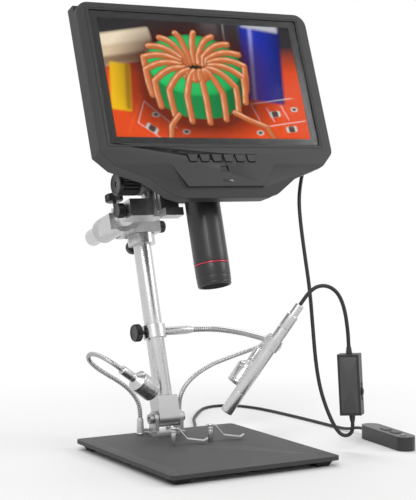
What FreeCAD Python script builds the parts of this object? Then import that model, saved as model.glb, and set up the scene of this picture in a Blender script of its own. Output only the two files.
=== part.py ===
import FreeCAD, Part
import math
import os
import re
import Sketcher
from FreeCAD import Placement, Rotation, Vector

# Digital microscope with a built-in screen on a leaning stand with lamps
#
# Row frame: origin on the floor under the centre of the base plate, +X to the user's right,
# +Y away from the user, +Z up. The stand leans back about a hinge near the plate's rear edge.
# Stand frame: origin on the hinge axis, u along +X, v square to the pillar towards the back,
# w up the pillar. Head frame: origin at the centre of the screen opening, u along +X,
# n into the head, w up the screen.

# Driving sizes in millimetres and degrees
SIZES = {
    # base plate on four feet
    "plate_width": 180.0, "plate_depth": 200.0, "plate_thickness": 4.0, "plate_corner": 5.0,
    "foot_height": 6.0, "foot_base": 13.0, "foot_top": 19.0, "foot_inset": 5.0,
    "centre_pad_radius": 9.0,
    "screw_head_radius": 2.75, "screw_radius": 1.5,
    # hinge bracket bolted to the plate
    "hinge_x": 4.4, "hinge_y": 85.4, "hinge_rise": 15.5, "ear_gap": 24.0, "ear_thickness": 4.0,
    "ear_depth": 15.0, "flange_thickness": 2.5, "flange_left": 21.5, "flange_depth": 24.0,
    "flange_screw_left": 18.7, "flange_screw_right": 7.0, "flange_screw_y": 9.0, "bolt_radius": 3.0,
    "bolt_head_radius": 5.0, "bolt_head_height": 4.0, "nut_flats_radius": 5.0, "nut_height": 3.5,
    # stand pillar
    "lean": 17.0, "pillar_radius": 9.3, "pillar_wall": 1.6, "pillar_top": 214.0,
    "pivot_depth": 18.0, "pivot_side_gap": 0.3, "pivot_top": 22.0, "running_gap": 0.05,
    "collar_radius": 14.2, "collar_bottom": 181.0, "collar_height": 10.5, "seat_gap": 0.3,
    "collar_screw_rise": 3.0,
    # accessory ring on the pillar
    "ring_radius": 12.0, "ring_bottom": 82.0, "ring_height": 13.5, "arm_tube_radius": 4.4,
    "arm_tube_length": 26.0, "arm_cone_length": 7.0, "flex_radius": 3.0,
    # swivel casting on top of the pillar
    "swivel_height": 17.0, "swivel_right": 17.6, "swivel_left": 21.0, "swivel_front": 13.5,
    "boom_u": -32.0, "boom_w": 202.0, "boom_radius": 9.0, "boom_rear": 48.5, "boom_front": -49.5,
    "boom_wall": 2.0, "hub_radius": 12.8, "hub_front": -27.0, "hub_rear": 20.0, "spigot_radius": 6.0,
    "spigot_length": 22.0,
    # focus block at the front end of the boom
    "block_left": 46.5, "block_right": 21.0, "block_front": -75.0, "block_back": -50.0,
    "block_bottom": 193.0, "block_height": 17.5, "column_u": -17.0, "column_v": -62.0,
    "column_radius": 7.6, "rack_housing_bottom": 218.5, "rack_housing_height": 23.0,
    "pinion_u": -11.0, "pinion_v": -71.5, "pinion_w": 226.0, "pinion_teeth": 10, "gear_module": 0.8,
    "pinion_face": 12.0, "shaft_radius": 2.5, "focus_knob_radius": 11.4, "focus_knob_length": 25.0,
    "focus_knob_offset": 22.0, "knob_grooves": 18, "slide_half_width": 8.0, "slide_bottom": 195.0,
    "slide_top": 264.0, "slide_front": -85.0, "slide_thickness": 5.6,
    # microscope barrel, in the stand frame
    "barrel_u": 13.3, "barrel_v": -112.5, "barrel_tip": 110.7, "barrel_top": 222.0,
    "barrel_radius": 17.2, "barrel_wall": 2.2, "hood_tip_radius": 16.5, "hood_length": 20.5,
    "accent_height": 1.5, "filter_radius": 14.0, "filter_depth": 5.0,
    # head with the screen, in the head frame
    "head_u": 13.3, "head_v": -157.6, "head_w": 306.8, "head_tilt": 3.34,
    "opening_width": 232.7, "opening_height": 135.3, "head_half_width": 129.0, "head_top": 75.2,
    "head_side_low": -76.0, "chin_low": -120.5, "head_corner": 13.0, "bezel_thickness": 8.0,
    "shell_depth": 20.0, "shell_wall": 2.2, "bulge_half_width": 85.0, "bulge_top": 45.0,
    "bulge_bottom": -60.0, "bulge_depth": 48.0, "spine_half_width": 26.0, "spine_top": -30.0,
    "spine_bottom": -100.0, "spine_depth": 70.2, "panel_gap": 0.2, "glass_thickness": 1.2,
    "glass_recess": 1.0, "panel_thickness": 4.2, "facet_top": -88.0, "facet_bottom": -110.5,
    "facet_top_half": 57.0, "facet_bottom_half": 42.0, "facet_slope": 0.15, "lip_slope": 0.4,
    # the six keys under the screen
    "key_pitch": 13.0, "key_width": 11.0, "key_foot_width": 7.5, "key_height": 7.2,
    "key_w": -82.0, "key_proud": 1.0, "key_gap": 0.4, "key_depth": 6.0,
    # lamps on goosenecks
    "left_socket_x": -22.5, "left_socket_y": 91.0, "right_socket_x": 24.8, "right_socket_y": 95.5,
    "socket_height": 16.5, "socket_radius": 4.0, "socket_top_radius": 3.1, "neck_radius": 2.25, "lamp_radius": 11.0, "lamp_length": 22.0,
    "lamp_cone": 5.0, "lamp_tail": 18.0, "lamp_tail_radius": 4.6, "lamp_wall": 1.3,
    # spring clips for the sample
    "clip_x": 20.7, "clip_y": 23.6, "clip_post_radius": 2.5, "clip_post_height": 16.0,
    "clip_width": 7.0, "clip_thickness": 0.8, "clip_reach": 30.0, "clip_turn": 25.0,
    # pen camera
    "pen_radius": 6.1, "pen_length": 116.0, "pen_neck_radius": 4.6, "pen_neck_length": 12.0,
    "joint_radius": 9.2, "joint_thickness": 6.0,
    # cords and what is on them
    "thin_cord_radius": 1.9, "floor_cord_radius": 1.6, "dimmer_width": 21.5, "dimmer_height": 60.0,
    "dimmer_depth": 14.0, "port_w": -40.0, "plug_length": 14.0, "wheel_radius": 8.0,
    "wheel_width": 4.0, "relief_radius": 3.2,
    "relief_length": 7.0, "remote_length": 86.0, "remote_width": 20.0, "remote_height": 14.0,
}

document = FreeCAD.newDocument("Microscope")
sheet = document.addObject("Spreadsheet::Sheet", "size")
for row, (name, value) in enumerate(SIZES.items(), start=1):
    sheet.set(f"A{row}", name)
    sheet.set(f"B{row}", str(value))
    sheet.setAlias(f"B{row}", name)
document.recompute()

NODES = {}


def size(name):
    """A driving size, read from the sheet."""
    return float(sheet.get(name))


def formula(text):
    """A formula with the names of driving sizes pointed at the sheet."""
    return re.sub(r"[a-z_]+", lambda m: f"size.{m[0]}" if m[0] in SIZES else m[0], str(text))


def bind(thing, **targets):
    """Bind properties to formulas; a double underscore stands for a dot."""
    for name, text in targets.items():
        thing.setExpression(name.replace("__", "."), formula(text))
    return thing


def moved(thing, x, y, z):
    """Bind a shape's position to formulas."""
    return bind(thing, Placement__Base__x=x, Placement__Base__y=y, Placement__Base__z=z)


TURNS = {"z": Rotation(), "x": Rotation(Vector(0, 1, 0), 90), "y": Rotation(Vector(1, 0, 0), -90)}


def box(x, y, z, width, depth, height):
    """A box from its low corner."""
    thing = document.addObject("Part::Box", "Block")
    bind(thing, Length=width, Width=depth, Height=height)
    return moved(thing, x, y, z)


def rod(x, y, z, radius, length, along="z"):
    """A cylinder from the centre of its foot."""
    thing = document.addObject("Part::Cylinder", "Rod")
    thing.Placement = Placement(Vector(), TURNS[along])
    bind(thing, Radius=radius, Height=length)
    return moved(thing, x, y, z)


def cone(x, y, z, foot_radius, top_radius, length, along="z"):
    """A cone frustum from the centre of its foot."""
    thing = document.addObject("Part::Cone", "Taper")
    thing.Placement = Placement(Vector(), TURNS[along])
    bind(thing, Radius1=foot_radius, Radius2=top_radius, Height=length)
    return moved(thing, x, y, z)


def joined(*shapes):
    """One solid of several overlapping or touching shapes."""
    thing = document.addObject("Part::MultiFuse", "Joined")
    thing.Shapes = list(shapes)
    thing.Refine = True
    return thing


def group(*shapes):
    """Separate solids kept together."""
    thing = document.addObject("Part::Compound", "Group")
    thing.Links = list(shapes)
    return thing


def minus(base, *tools):
    """A shape with others cut away."""
    for tool in tools:
        cut = document.addObject("Part::Cut", "Hollowed")
        cut.Base = base
        cut.Tool = tool
        base = cut
    return base


def stand_point(u, v, w):
    """Row-frame formulas of a point of the stand frame."""
    return (
        f"hinge_x + ({u})",
        f"hinge_y + ({v}) * cos(lean * 1deg) + ({w}) * sin(lean * 1deg)",
        f"foot_height + plate_thickness + hinge_rise - ({v}) * sin(lean * 1deg) + ({w}) * cos(lean * 1deg)",
    )


def head_point(u, n, w):
    """Row-frame formulas of a point of the head frame."""
    across = f"(head_v + ({n}) * cos(head_tilt * 1deg) + ({w}) * sin(head_tilt * 1deg))"
    up = f"(head_w - ({n}) * sin(head_tilt * 1deg) + ({w}) * cos(head_tilt * 1deg))"
    return stand_point(f"head_u + ({u})", across, up)


def node(name, thing, frame=None, at=(0, 0, 0)):
    """Register a finished piece under its name and set it in its frame."""
    thing.Label = name
    NODES[name] = thing
    if frame is None:
        return thing
    angle = "lean" if frame == "stand" else "lean + head_tilt"
    point = stand_point(*at) if frame == "stand" else head_point(*at)
    thing.Placement = Placement(Vector(), Rotation(Vector(-1, 0, 0), 10))
    bind(thing, Placement__Rotation__Angle=angle)
    return moved(thing, *point)


def new_body(name):
    body = document.addObject("PartDesign::Body", name)
    return body


def new_sketch(body, role="XY_Plane", offset=0):
    """A sketch on one of the body's origin planes, moved along its normal."""
    sketch = body.newObject("Sketcher::SketchObject", "Sketch")
    plane = next(item for item in body.Origin.OriginFeatures if item.Role == role)
    sketch.AttachmentSupport = [(plane, "")]
    sketch.MapMode = "FlatFace"
    if offset:
        bind(sketch, AttachmentOffset__Base__z=offset)
    return sketch


def polygon(sketch, points):
    """A closed outline whose corners sit at formulas."""
    first = sketch.GeometryCount
    count = len(points)
    rough = [Vector(math.cos(math.tau * i / count), math.sin(math.tau * i / count), 0) for i in range(count)]
    for i in range(count):
        sketch.addGeometry(Part.LineSegment(rough[i], rough[(i + 1) % count]), False)
    for i in range(count):
        here, after = first + i, first + (i + 1) % count
        sketch.addConstraint(Sketcher.Constraint("Coincident", here, 2, after, 1))
    for i, (x, y) in enumerate(points):
        for kind, text in (("DistanceX", x), ("DistanceY", y)):
            start = rough[i].x if kind == "DistanceX" else rough[i].y
            index = sketch.addConstraint(Sketcher.Constraint(kind, -1, 1, first + i, 1, start))
            sketch.setExpression(f"Constraints[{index}]", formula(text))
    return sketch


def circle(sketch, x, y, radius):
    """A circle whose centre and radius are formulas."""
    index = sketch.addGeometry(Part.Circle(Vector(1, 1, 0), Vector(0, 0, 1), 1), False)
    for kind, text in (("DistanceX", x), ("DistanceY", y)):
        at = sketch.addConstraint(Sketcher.Constraint(kind, -1, 1, index, 3, 1.0))
        sketch.setExpression(f"Constraints[{at}]", formula(text))
    at = sketch.addConstraint(Sketcher.Constraint("Radius", index, 1.0))
    sketch.setExpression(f"Constraints[{at}]", formula(radius))
    return sketch


def pad(body, sketch, length, backwards=False):
    """Material grown from a sketch along or against its normal."""
    feature = body.newObject("PartDesign::Pad", "Pad")
    feature.Profile = sketch
    feature.Reversed = backwards
    bind(feature, Length=length)
    return feature


def pocket(body, sketch, length=None, backwards=False):
    """A recess of a given depth, or right through both ways."""
    feature = body.newObject("PartDesign::Pocket", "Pocket")
    feature.Profile = sketch
    feature.Reversed = backwards
    if length is None:
        feature.Type = 1
        feature.Midplane = True
    else:
        bind(feature, Length=length)
    return feature


def rounded(body, feature, radius, test):
    """Round the straight edges of a feature that pass a test on their ends."""
    document.recompute()
    names = []
    for number, edge in enumerate(feature.Shape.Edges, start=1):
        if edge.Curve.TypeId == "Part::GeomLine" and test(*[v.Point for v in edge.Vertexes]):
            names.append(f"Edge{number}")
    fillet = body.newObject("PartDesign::Fillet", "Fillet")
    fillet.Base = (feature, names)
    bind(fillet, Radius=radius)
    return fillet


def tube_route(points):
    """Straight runs joined by tangent arcs; returns the wire, its length and its least radius."""
    spots = [Vector(*p) for p in points]
    edges = []
    start = spots[0]
    least = math.inf
    for before, corner, after in zip(spots, spots[1:], spots[2:]):
        back = (before - corner).normalize()
        ahead = (after - corner).normalize()
        turn = math.pi - back.getAngle(ahead)
        reach = 0.45 * min((before - corner).Length, (after - corner).Length)
        radius = reach / math.tan(turn / 2)
        least = min(least, radius)
        enter = corner + back * reach
        leave = corner + ahead * reach
        inward = (back + ahead).normalize()
        middle = corner + inward * (radius / math.cos(turn / 2) - radius)
        edges.append(Part.LineSegment(start, enter).toShape())
        edges.append(Part.Arc(enter, middle, leave).toShape())
        start = leave
    edges.append(Part.LineSegment(start, spots[-1]).toShape())
    wire = Part.Wire(edges)
    return wire, wire.Length, least


def tube(name, points, radius):
    """A flexible round tube along a route chosen by hand."""
    wire, length, least = tube_route(points)
    heading = Vector(*points[1]) - Vector(*points[0])
    ring = Part.Wire([Part.makeCircle(radius, Vector(*points[0]), heading)])
    shell = Part.BRepOffsetAPI.MakePipeShell(wire)
    shell.add(ring)
    shell.build()
    shell.makeSolid()
    solid = shell.shape()
    share = solid.Volume / (math.pi * radius ** 2 * length)
    print(f"{name}: length {length:.0f} mm, least radius {least:.1f} mm, volume share {share:.4f}")
    thing = document.addObject("Part::Feature", "Tube")
    thing.Shape = solid
    thing.Placement = Placement()
    return thing


def aimed(thing, tip, direction):
    """Turn a piece so that its own +Z looks along a direction, with its origin at a point."""
    thing = group(thing)
    thing.Placement = Placement(Vector(*tip), Rotation(Vector(0, 0, 1), Vector(*direction)))
    return thing


PLATE_TOP = "foot_height + plate_thickness"


def stand_spot(u, v, w):
    """Row-frame position of a point of the stand frame."""
    lean = math.radians(size("lean"))
    hinge_z = size("foot_height") + size("plate_thickness") + size("hinge_rise")
    return Vector(
        size("hinge_x") + u,
        size("hinge_y") + v * math.cos(lean) + w * math.sin(lean),
        hinge_z - v * math.sin(lean) + w * math.cos(lean),
    )


def head_spot(u, n, w):
    """Row-frame position of a point of the head frame."""
    tilt = math.radians(size("head_tilt"))
    return stand_spot(
        size("head_u") + u,
        size("head_v") + n * math.cos(tilt) + w * math.sin(tilt),
        size("head_w") - n * math.sin(tilt) + w * math.cos(tilt),
    )


# Base plate with its holes for sockets, clip posts and bracket screws
def make_base():
    plate = new_body("Plate")
    outline = new_sketch(plate, offset="foot_height")
    wide, deep = "plate_width / 2", "plate_depth / 2"
    polygon(outline, [(f"-{wide}", f"-{deep}"), (wide, f"-{deep}"), (wide, deep), (f"-{wide}", deep)])
    slab = pad(plate, outline, "plate_thickness")
    soft = rounded(plate, slab, "plate_corner", lambda a, b: abs(a.z - b.z) > 1)
    holes = new_sketch(plate, offset="foot_height")
    for side in ("-", ""):
        label = "left" if side else "right"
        circle(holes, f"{label}_socket_x", f"{label}_socket_y", "screw_radius")
        circle(holes, f"{side}clip_x", "clip_y", "screw_radius")
        for end in ("-", "+"):
            across = "hinge_x - flange_screw_left" if side else "hinge_x + flange_screw_right"
            circle(holes, across, f"hinge_y {end} flange_screw_y", "screw_radius")
            inset = "(foot_inset + foot_top / 2)"
            circle(holes, f"{side}({wide} - {inset})", f"{end}({deep} - {inset})", "screw_radius")
    cut = pocket(plate, holes)
    plate.Tip = cut
    node("base_plate", plate)

    feet, screws = [], []
    for side in ("-", "+"):
        for end in ("-", "+"):
            x = f"{side}({wide} - foot_inset - foot_top / 2)"
            y = f"{end}({deep} - foot_inset - foot_top / 2)"
            foot = document.addObject("Part::Wedge", "Foot")
            foot.Placement = Placement(Vector(), Rotation(Vector(1, 0, 0), 90))
            bind(
                foot, Xmin=0, Xmax="foot_base", Ymin=0, Ymax="foot_height", Zmin=0, Zmax="foot_base",
                X2min="(foot_base - foot_top) / 2", X2max="(foot_base + foot_top) / 2",
                Z2min="(foot_base - foot_top) / 2", Z2max="(foot_base + foot_top) / 2",
            )
            moved(foot, f"{x} - foot_base / 2", f"{y} + foot_base / 2", 0)
            well = rod(x, y, -1, "screw_head_radius + panel_gap", "1 + foot_height * 0.5")
            bore = rod(x, y, -1, "screw_radius + panel_gap", "foot_height + 2")
            feet.append(minus(foot, well, bore))
            head = rod(x, y, "foot_height * 0.5 - 1.6", "screw_head_radius", 1.6)
            shank = rod(x, y, "foot_height * 0.5", "screw_radius", "foot_height * 0.5 + plate_thickness - 0.3")
            screws.append(joined(head, shank))
    feet.append(rod(0, 0, 0, "centre_pad_radius", "foot_height"))
    node("rubber_feet", group(*feet))
    posts = []

    for side in ("-", ""):
        x, y = f"{side}clip_x", "clip_y"
        post = rod(x, y, PLATE_TOP, "clip_post_radius", "clip_post_height - 2")
        neck = rod(x, y, f"{PLATE_TOP} + clip_post_height - 2", "clip_post_radius * 0.6", 2)
        cap = rod(x, y, f"{PLATE_TOP} + clip_post_height - 0.4", "clip_post_radius * 1.1", 1.6)
        stud = rod(x, y, f"{PLATE_TOP} - plate_thickness", "screw_radius", "plate_thickness + 1")
        posts.append(joined(post, neck, cap, stud))
    node("clip_posts", group(*posts))
    make_clips()
    return screws


# Sprung strips that turn about their posts and bow down towards the sample
def make_clips():
    for label, side in (("left", "-"), ("right", "")):
        strip = new_body("Strip")
        profile = new_sketch(strip, "XZ_Plane", "-clip_width / 2")
        reach, thick = "clip_reach", "clip_thickness"
        drop = "(clip_post_height - 6)"
        polygon(profile, [
            ("-4", "0"), ("5", "0"), (f"{reach} * 0.45", f"-{drop}"), (reach, f"-{drop} - 2"),
            (f"{reach} + 4", f"-{drop} + 0.5"), (f"{reach} + 4", f"-{drop} + 0.5 + {thick}"),
            (reach, f"{thick} - {drop} - 2"), (f"{reach} * 0.45 + 0.4", f"{thick} - {drop}"),
            ("5.4", thick), ("-4", thick),
        ])
        bent = pad(strip, profile, "clip_width", True)
        eye = new_sketch(strip)
        circle(eye, "0", "0", "clip_post_radius * 0.6 + running_gap")
        cut = pocket(strip, eye)
        strip.Tip = cut
        node(f"{label}_spring_clip", strip)
        strip.Placement = Placement(Vector(), Rotation(Vector(0, 0, -1), 10))
        bind(strip, Placement__Rotation__Angle="clip_turn")
        moved(strip, f"{side}clip_x", "clip_y", f"{PLATE_TOP} + clip_post_height - 1.6")


# Cast bracket, its screws and the pivot bolt with its nut
def make_bracket(foot_screws):
    floor = PLATE_TOP
    outer = "(ear_gap / 2 + ear_thickness)"
    axis_z = f"{floor} + hinge_rise"
    flange = box(
        "hinge_x - flange_left", "hinge_y - flange_depth / 2", floor,
        f"flange_left + {outer}", "flange_depth", "flange_thickness",
    )
    parts = [flange]
    for left in (f"hinge_x - {outer}", "hinge_x + ear_gap / 2"):
        parts.append(box(left, "hinge_y - ear_depth / 2", floor, "ear_thickness", "ear_depth", "hinge_rise"))
        parts.append(rod(left, "hinge_y", axis_z, "ear_depth / 2", "ear_thickness", "x"))
    holes = [rod(f"hinge_x - {outer} - 1", "hinge_y", axis_z, "bolt_radius", f"2 * {outer} + 2", "x")]
    screws = []
    for x in ("hinge_x - flange_screw_left", "hinge_x + flange_screw_right"):
        for end in ("-", "+"):
            y = f"hinge_y {end} flange_screw_y"
            holes.append(rod(x, y, f"{floor} - 1", "screw_radius", "flange_thickness + 2"))
            head = rod(x, y, f"{floor} + flange_thickness", "screw_head_radius", 2.2)
            recess = rod(x, y, f"{floor} + flange_thickness + 1", "screw_radius * 0.7", 2)
            shank = rod(x, y, floor + " - plate_thickness + 0.3", "screw_radius", "flange_thickness + plate_thickness")
            screws.append(minus(joined(head, shank), recess))
    node("hinge_bracket", minus(joined(*parts), *holes))

    left = f"hinge_x - {outer}"
    head = rod(f"{left} - bolt_head_height", "hinge_y", axis_z, "bolt_head_radius", "bolt_head_height", "x")
    socket = rod(f"{left} - bolt_head_height - 1", "hinge_y", axis_z, "bolt_radius * 0.8", "bolt_head_height * 0.7", "x")
    shank = rod(left, "hinge_y", axis_z, "bolt_radius", f"2 * {outer} + nut_height + 1", "x")
    pivot_bolt = minus(joined(head, shank), socket)
    nut = rod(f"hinge_x + {outer}", "hinge_y", axis_z, "nut_flats_radius", "nut_height", "x")
    bore = rod(f"hinge_x + {outer} - 1", "hinge_y", axis_z, "bolt_radius", "nut_height + 2", "x")
    node("base_fasteners", group(*foot_screws, *screws, pivot_bolt, minus(nut, bore)))


# Leaning stand: pivot block, tube, height collar
def make_stand():
    half = "(ear_gap / 2 - pivot_side_gap)"
    block = box(f"-{half}", "-pivot_depth / 2", 0, f"2 * {half}", "pivot_depth", "pivot_top")
    knuckle = rod(f"-{half}", 0, 0, "pivot_depth / 2", f"2 * {half}", "x")
    bore = rod(f"-{half} - 1", 0, 0, "bolt_radius + running_gap", f"2 * {half} + 2", "x")
    spigot = rod(0, 0, "pivot_top - 1", "pillar_radius - pillar_wall", 12)
    node("pivot_block", minus(joined(block, knuckle, spigot), bore), "stand")

    outer = rod(0, 0, "pivot_top", "pillar_radius", "pillar_top - pivot_top")
    inner = rod(0, 0, "pivot_top - 1", "pillar_radius - pillar_wall", "pillar_top - pivot_top + 2")
    node("pillar_tube", minus(outer, inner), "stand")

    ring = rod(0, 0, "collar_bottom", "collar_radius", "collar_height")
    bore = rod(0, 0, "collar_bottom - 1", "pillar_radius + running_gap", "collar_height + 2")
    boss = rod(0, "collar_radius - 2", "collar_bottom + collar_screw_rise", 4.2, 4, "y")
    thread = rod(0, "pillar_radius - 1", "collar_bottom + collar_screw_rise", "2 + running_gap", "collar_radius", "y")
    node("height_collar", minus(joined(ring, boss), bore, thread), "stand")
    thumb_screw(
        "collar_thumb_screw", (0, "pillar_radius + 0.3", "collar_bottom + collar_screw_rise"),
        "y", "collar_radius + 3 - pillar_radius", 7.5, 7,
    )


def thumb_screw(name, start, along, reach, head_radius, head_length, direction=1):
    """A knurled hand screw from its tip: thin stem, then the head."""
    step = "+" if direction > 0 else "-"
    shift = {"x": 0, "y": 1, "z": 2}[along]
    tip, seat = list(start), list(start)
    if direction > 0:
        seat[shift] = f"({start[shift]}) + ({reach})"
    else:
        tip[shift] = f"({start[shift]}) - ({reach})"
        seat[shift] = f"({start[shift]}) - ({reach}) - ({head_length})"
    stem = rod(*tip, 2, reach, along)
    head = rod(*seat, head_radius, head_length, along)
    return node(name, joined(stem, head), "stand")


# Swivel casting that clamps the pillar and the boom
def make_swivel():
    low = "collar_bottom + collar_height + seat_gap"
    main = box(
        "-swivel_left", "-swivel_front", low,
        "swivel_left + swivel_right", "swivel_front + hub_rear - 4", "swivel_height",
    )
    bridge = box(
        "boom_u - hub_radius - 2", "hub_front", low,
        "-boom_u + hub_radius + 2 - swivel_left + 4", "-hub_front + 2", "swivel_height",
    )
    hub = rod("boom_u", "hub_front", "boom_w", "hub_radius", "hub_rear - hub_front", "y")
    top_boss = rod("boom_u", "hub_front + 13", "boom_w", 4.5, "hub_radius + 2")
    parts = joined(main, bridge, hub, top_boss)
    bore = rod(0, 0, f"{low} - 1", "pillar_radius + running_gap", "swivel_height + 2")
    way = rod("boom_u", "hub_front - 1", "boom_w", "boom_radius + running_gap", "hub_rear - hub_front + 2", "y")
    screw_way = rod("boom_u", "hub_front + 13", "boom_w", "2 + running_gap", "hub_radius + 4")
    knob_way = rod("pillar_radius - 1", 0, f"{low} + swivel_height / 2", "2 + running_gap", "swivel_right", "x")
    node("swivel_casting", minus(parts, bore, way, screw_way, knob_way), "stand")
    thumb_screw(
        "swivel_lock_knob", ("pillar_radius + 0.3", 0, f"{low} + swivel_height / 2"),
        "x", "swivel_right - pillar_radius + 0.4", 6.4, 10,
    )
    thumb_screw(
        "boom_lock_screw", ("boom_u", "hub_front + 13", "boom_w + boom_radius + 0.3"),
        "z", "hub_radius - boom_radius + 9", 9.3, 8,
    )
    outer = rod("boom_u", "boom_front", "boom_w", "boom_radius", "boom_rear - boom_front", "y")
    inner = rod("boom_u", "boom_front + 12", "boom_w", "boom_radius - boom_wall", "boom_rear - boom_front - 12 - boom_wall", "y")
    spigot = rod("boom_u", "boom_front - spigot_length + 2", "boom_w", "spigot_radius", "spigot_length", "y")
    node("boom_tube", joined(minus(outer, inner), spigot), "stand")


# Focus block, column, rack housing, pinion with its knobs, and the slide that carries the head
def make_focus():
    width = "(block_left - block_right)"
    block = box(
        "-block_left", "block_front", "block_bottom", width, "block_back - block_front", "block_height",
    )
    wing = box("-block_right - 1", "block_front + 5", "block_bottom", 14, "block_back - block_front - 5", "block_height")
    bore = rod("boom_u", "boom_front - spigot_length", "boom_w", "spigot_radius + running_gap", "spigot_length + 4", "y")
    thread = rod("-block_left - 1", "block_front + 14", "boom_w", "2 + running_gap", 12, "x")
    column_top = "rack_housing_bottom - block_bottom - block_height + 2"
    column = rod("column_u", "column_v", "block_bottom + block_height - 2", "column_radius", column_top)
    node("focus_block", minus(joined(block, wing, column), bore, thread), "stand")
    thumb_screw(
        "tilt_lock_screw", ("boom_u - spigot_radius - 0.3", "block_front + 14", "boom_w"),
        "x", "block_left + boom_u - spigot_radius + 0.5", 7.5, 8, -1,
    )
    cheek = "(slide_half_width + 8)"
    shell = box(
        f"pinion_u - {cheek}", "slide_front + 1", "rack_housing_bottom",
        f"2 * {cheek}", "block_back - slide_front - 7", "rack_housing_height",
    )
    channel = box(
        "pinion_u - slide_half_width - running_gap * 4", "slide_front", "rack_housing_bottom - 1",
        "2 * slide_half_width + running_gap * 8", "slide_thickness + gear_module * 4 + 1.6", "rack_housing_height + 2",
    )
    groove = box(
        "pinion_u - slide_half_width - 2.4", "slide_front + 1.9", "rack_housing_bottom - 1",
        "2 * slide_half_width + 4.8", 2.2, "rack_housing_height + 2",
    )
    reach = "(pinion_teeth / 2 * gear_module + gear_module)"
    chamber = rod(
        "pinion_u - pinion_face / 2 - 0.5", "pinion_v", "pinion_w", f"{reach} + 0.5", "pinion_face + 1", "x",
    )
    shaft_way = rod(
        f"pinion_u - {cheek} - 1", "pinion_v", "pinion_w", "shaft_radius + running_gap", f"2 * {cheek} + 2", "x",
    )
    node("rack_housing", minus(shell, channel, groove, chamber, shaft_way), "stand")

    make_pinion()
    make_slide()
    knobs = []
    for start in ("-focus_knob_offset - focus_knob_length", "focus_knob_offset"):
        knob = fluted_knob("focus_knob_radius", "focus_knob_length", "knob_grooves")
        knobs.append(moved(knob, start, 0, 0))
    node("focus_knobs", group(*knobs), "stand", ("pinion_u", "pinion_v", "pinion_w"))


def fluted_knob(radius, length, count):
    """A round knob along +X with grooves worn into its rim and a bore for the shaft."""
    knob = new_body("Knob")
    disc = new_sketch(knob, "YZ_Plane")
    circle(disc, "0", "0", radius)
    barrel = pad(knob, disc, length)
    mark = new_sketch(knob, "YZ_Plane", 2)
    circle(mark, "0", f"{radius} + 0.2", "0.8")
    groove = pocket(knob, mark, f"{length} - 4", True)
    document.recompute()
    around = knob.newObject("PartDesign::PolarPattern", "Around")
    around.Originals = [groove]
    axis = next(item for item in knob.Origin.OriginFeatures if item.Role == "X_Axis")
    around.Axis = (axis, [""])
    around.Angle = 360
    bind(around, Occurrences=count)
    knob.Tip = around
    hub = new_sketch(knob, "YZ_Plane")
    circle(hub, "0", "0", "shaft_radius")
    knob.Tip = pocket(knob, hub)
    return knob


def make_pinion():
    """Shaft and toothed pinion as one turned piece."""
    gear = new_body("Pinion")
    face = new_sketch(gear, "YZ_Plane", "-pinion_face / 2")
    circle(face, "0", "0", "pinion_teeth / 2 * gear_module - gear_module * 1.25")
    root = pad(gear, face, "pinion_face")
    tooth = new_sketch(gear, "YZ_Plane", "-pinion_face / 2")
    inner = "(pinion_teeth / 2 * gear_module - gear_module * 1.35)"
    outer = "(pinion_teeth / 2 * gear_module + gear_module * 0.8)"
    polygon(tooth, [
        (f"-{outer}", "-gear_module * 0.2"), (f"-{inner}", "-gear_module * 0.75"),
        (f"-{inner}", "gear_module * 0.75"), (f"-{outer}", "gear_module * 0.2"),
    ])
    single = pad(gear, tooth, "pinion_face")
    document.recompute()
    around = gear.newObject("PartDesign::PolarPattern", "Around")
    around.Originals = [single]
    axis = next(item for item in gear.Origin.OriginFeatures if item.Role == "X_Axis")
    around.Axis = (axis, [""])
    around.Angle = 360
    bind(around, Occurrences="pinion_teeth")
    gear.Tip = around
    rod_face = new_sketch(gear, "YZ_Plane", "-focus_knob_offset - focus_knob_length + 2")
    circle(rod_face, "0", "0", "shaft_radius")
    gear.Tip = pad(gear, rod_face, "2 * (focus_knob_offset + focus_knob_length - 2)")
    node("pinion_shaft", gear, "stand", ("pinion_u", "pinion_v", "pinion_w"))


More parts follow.
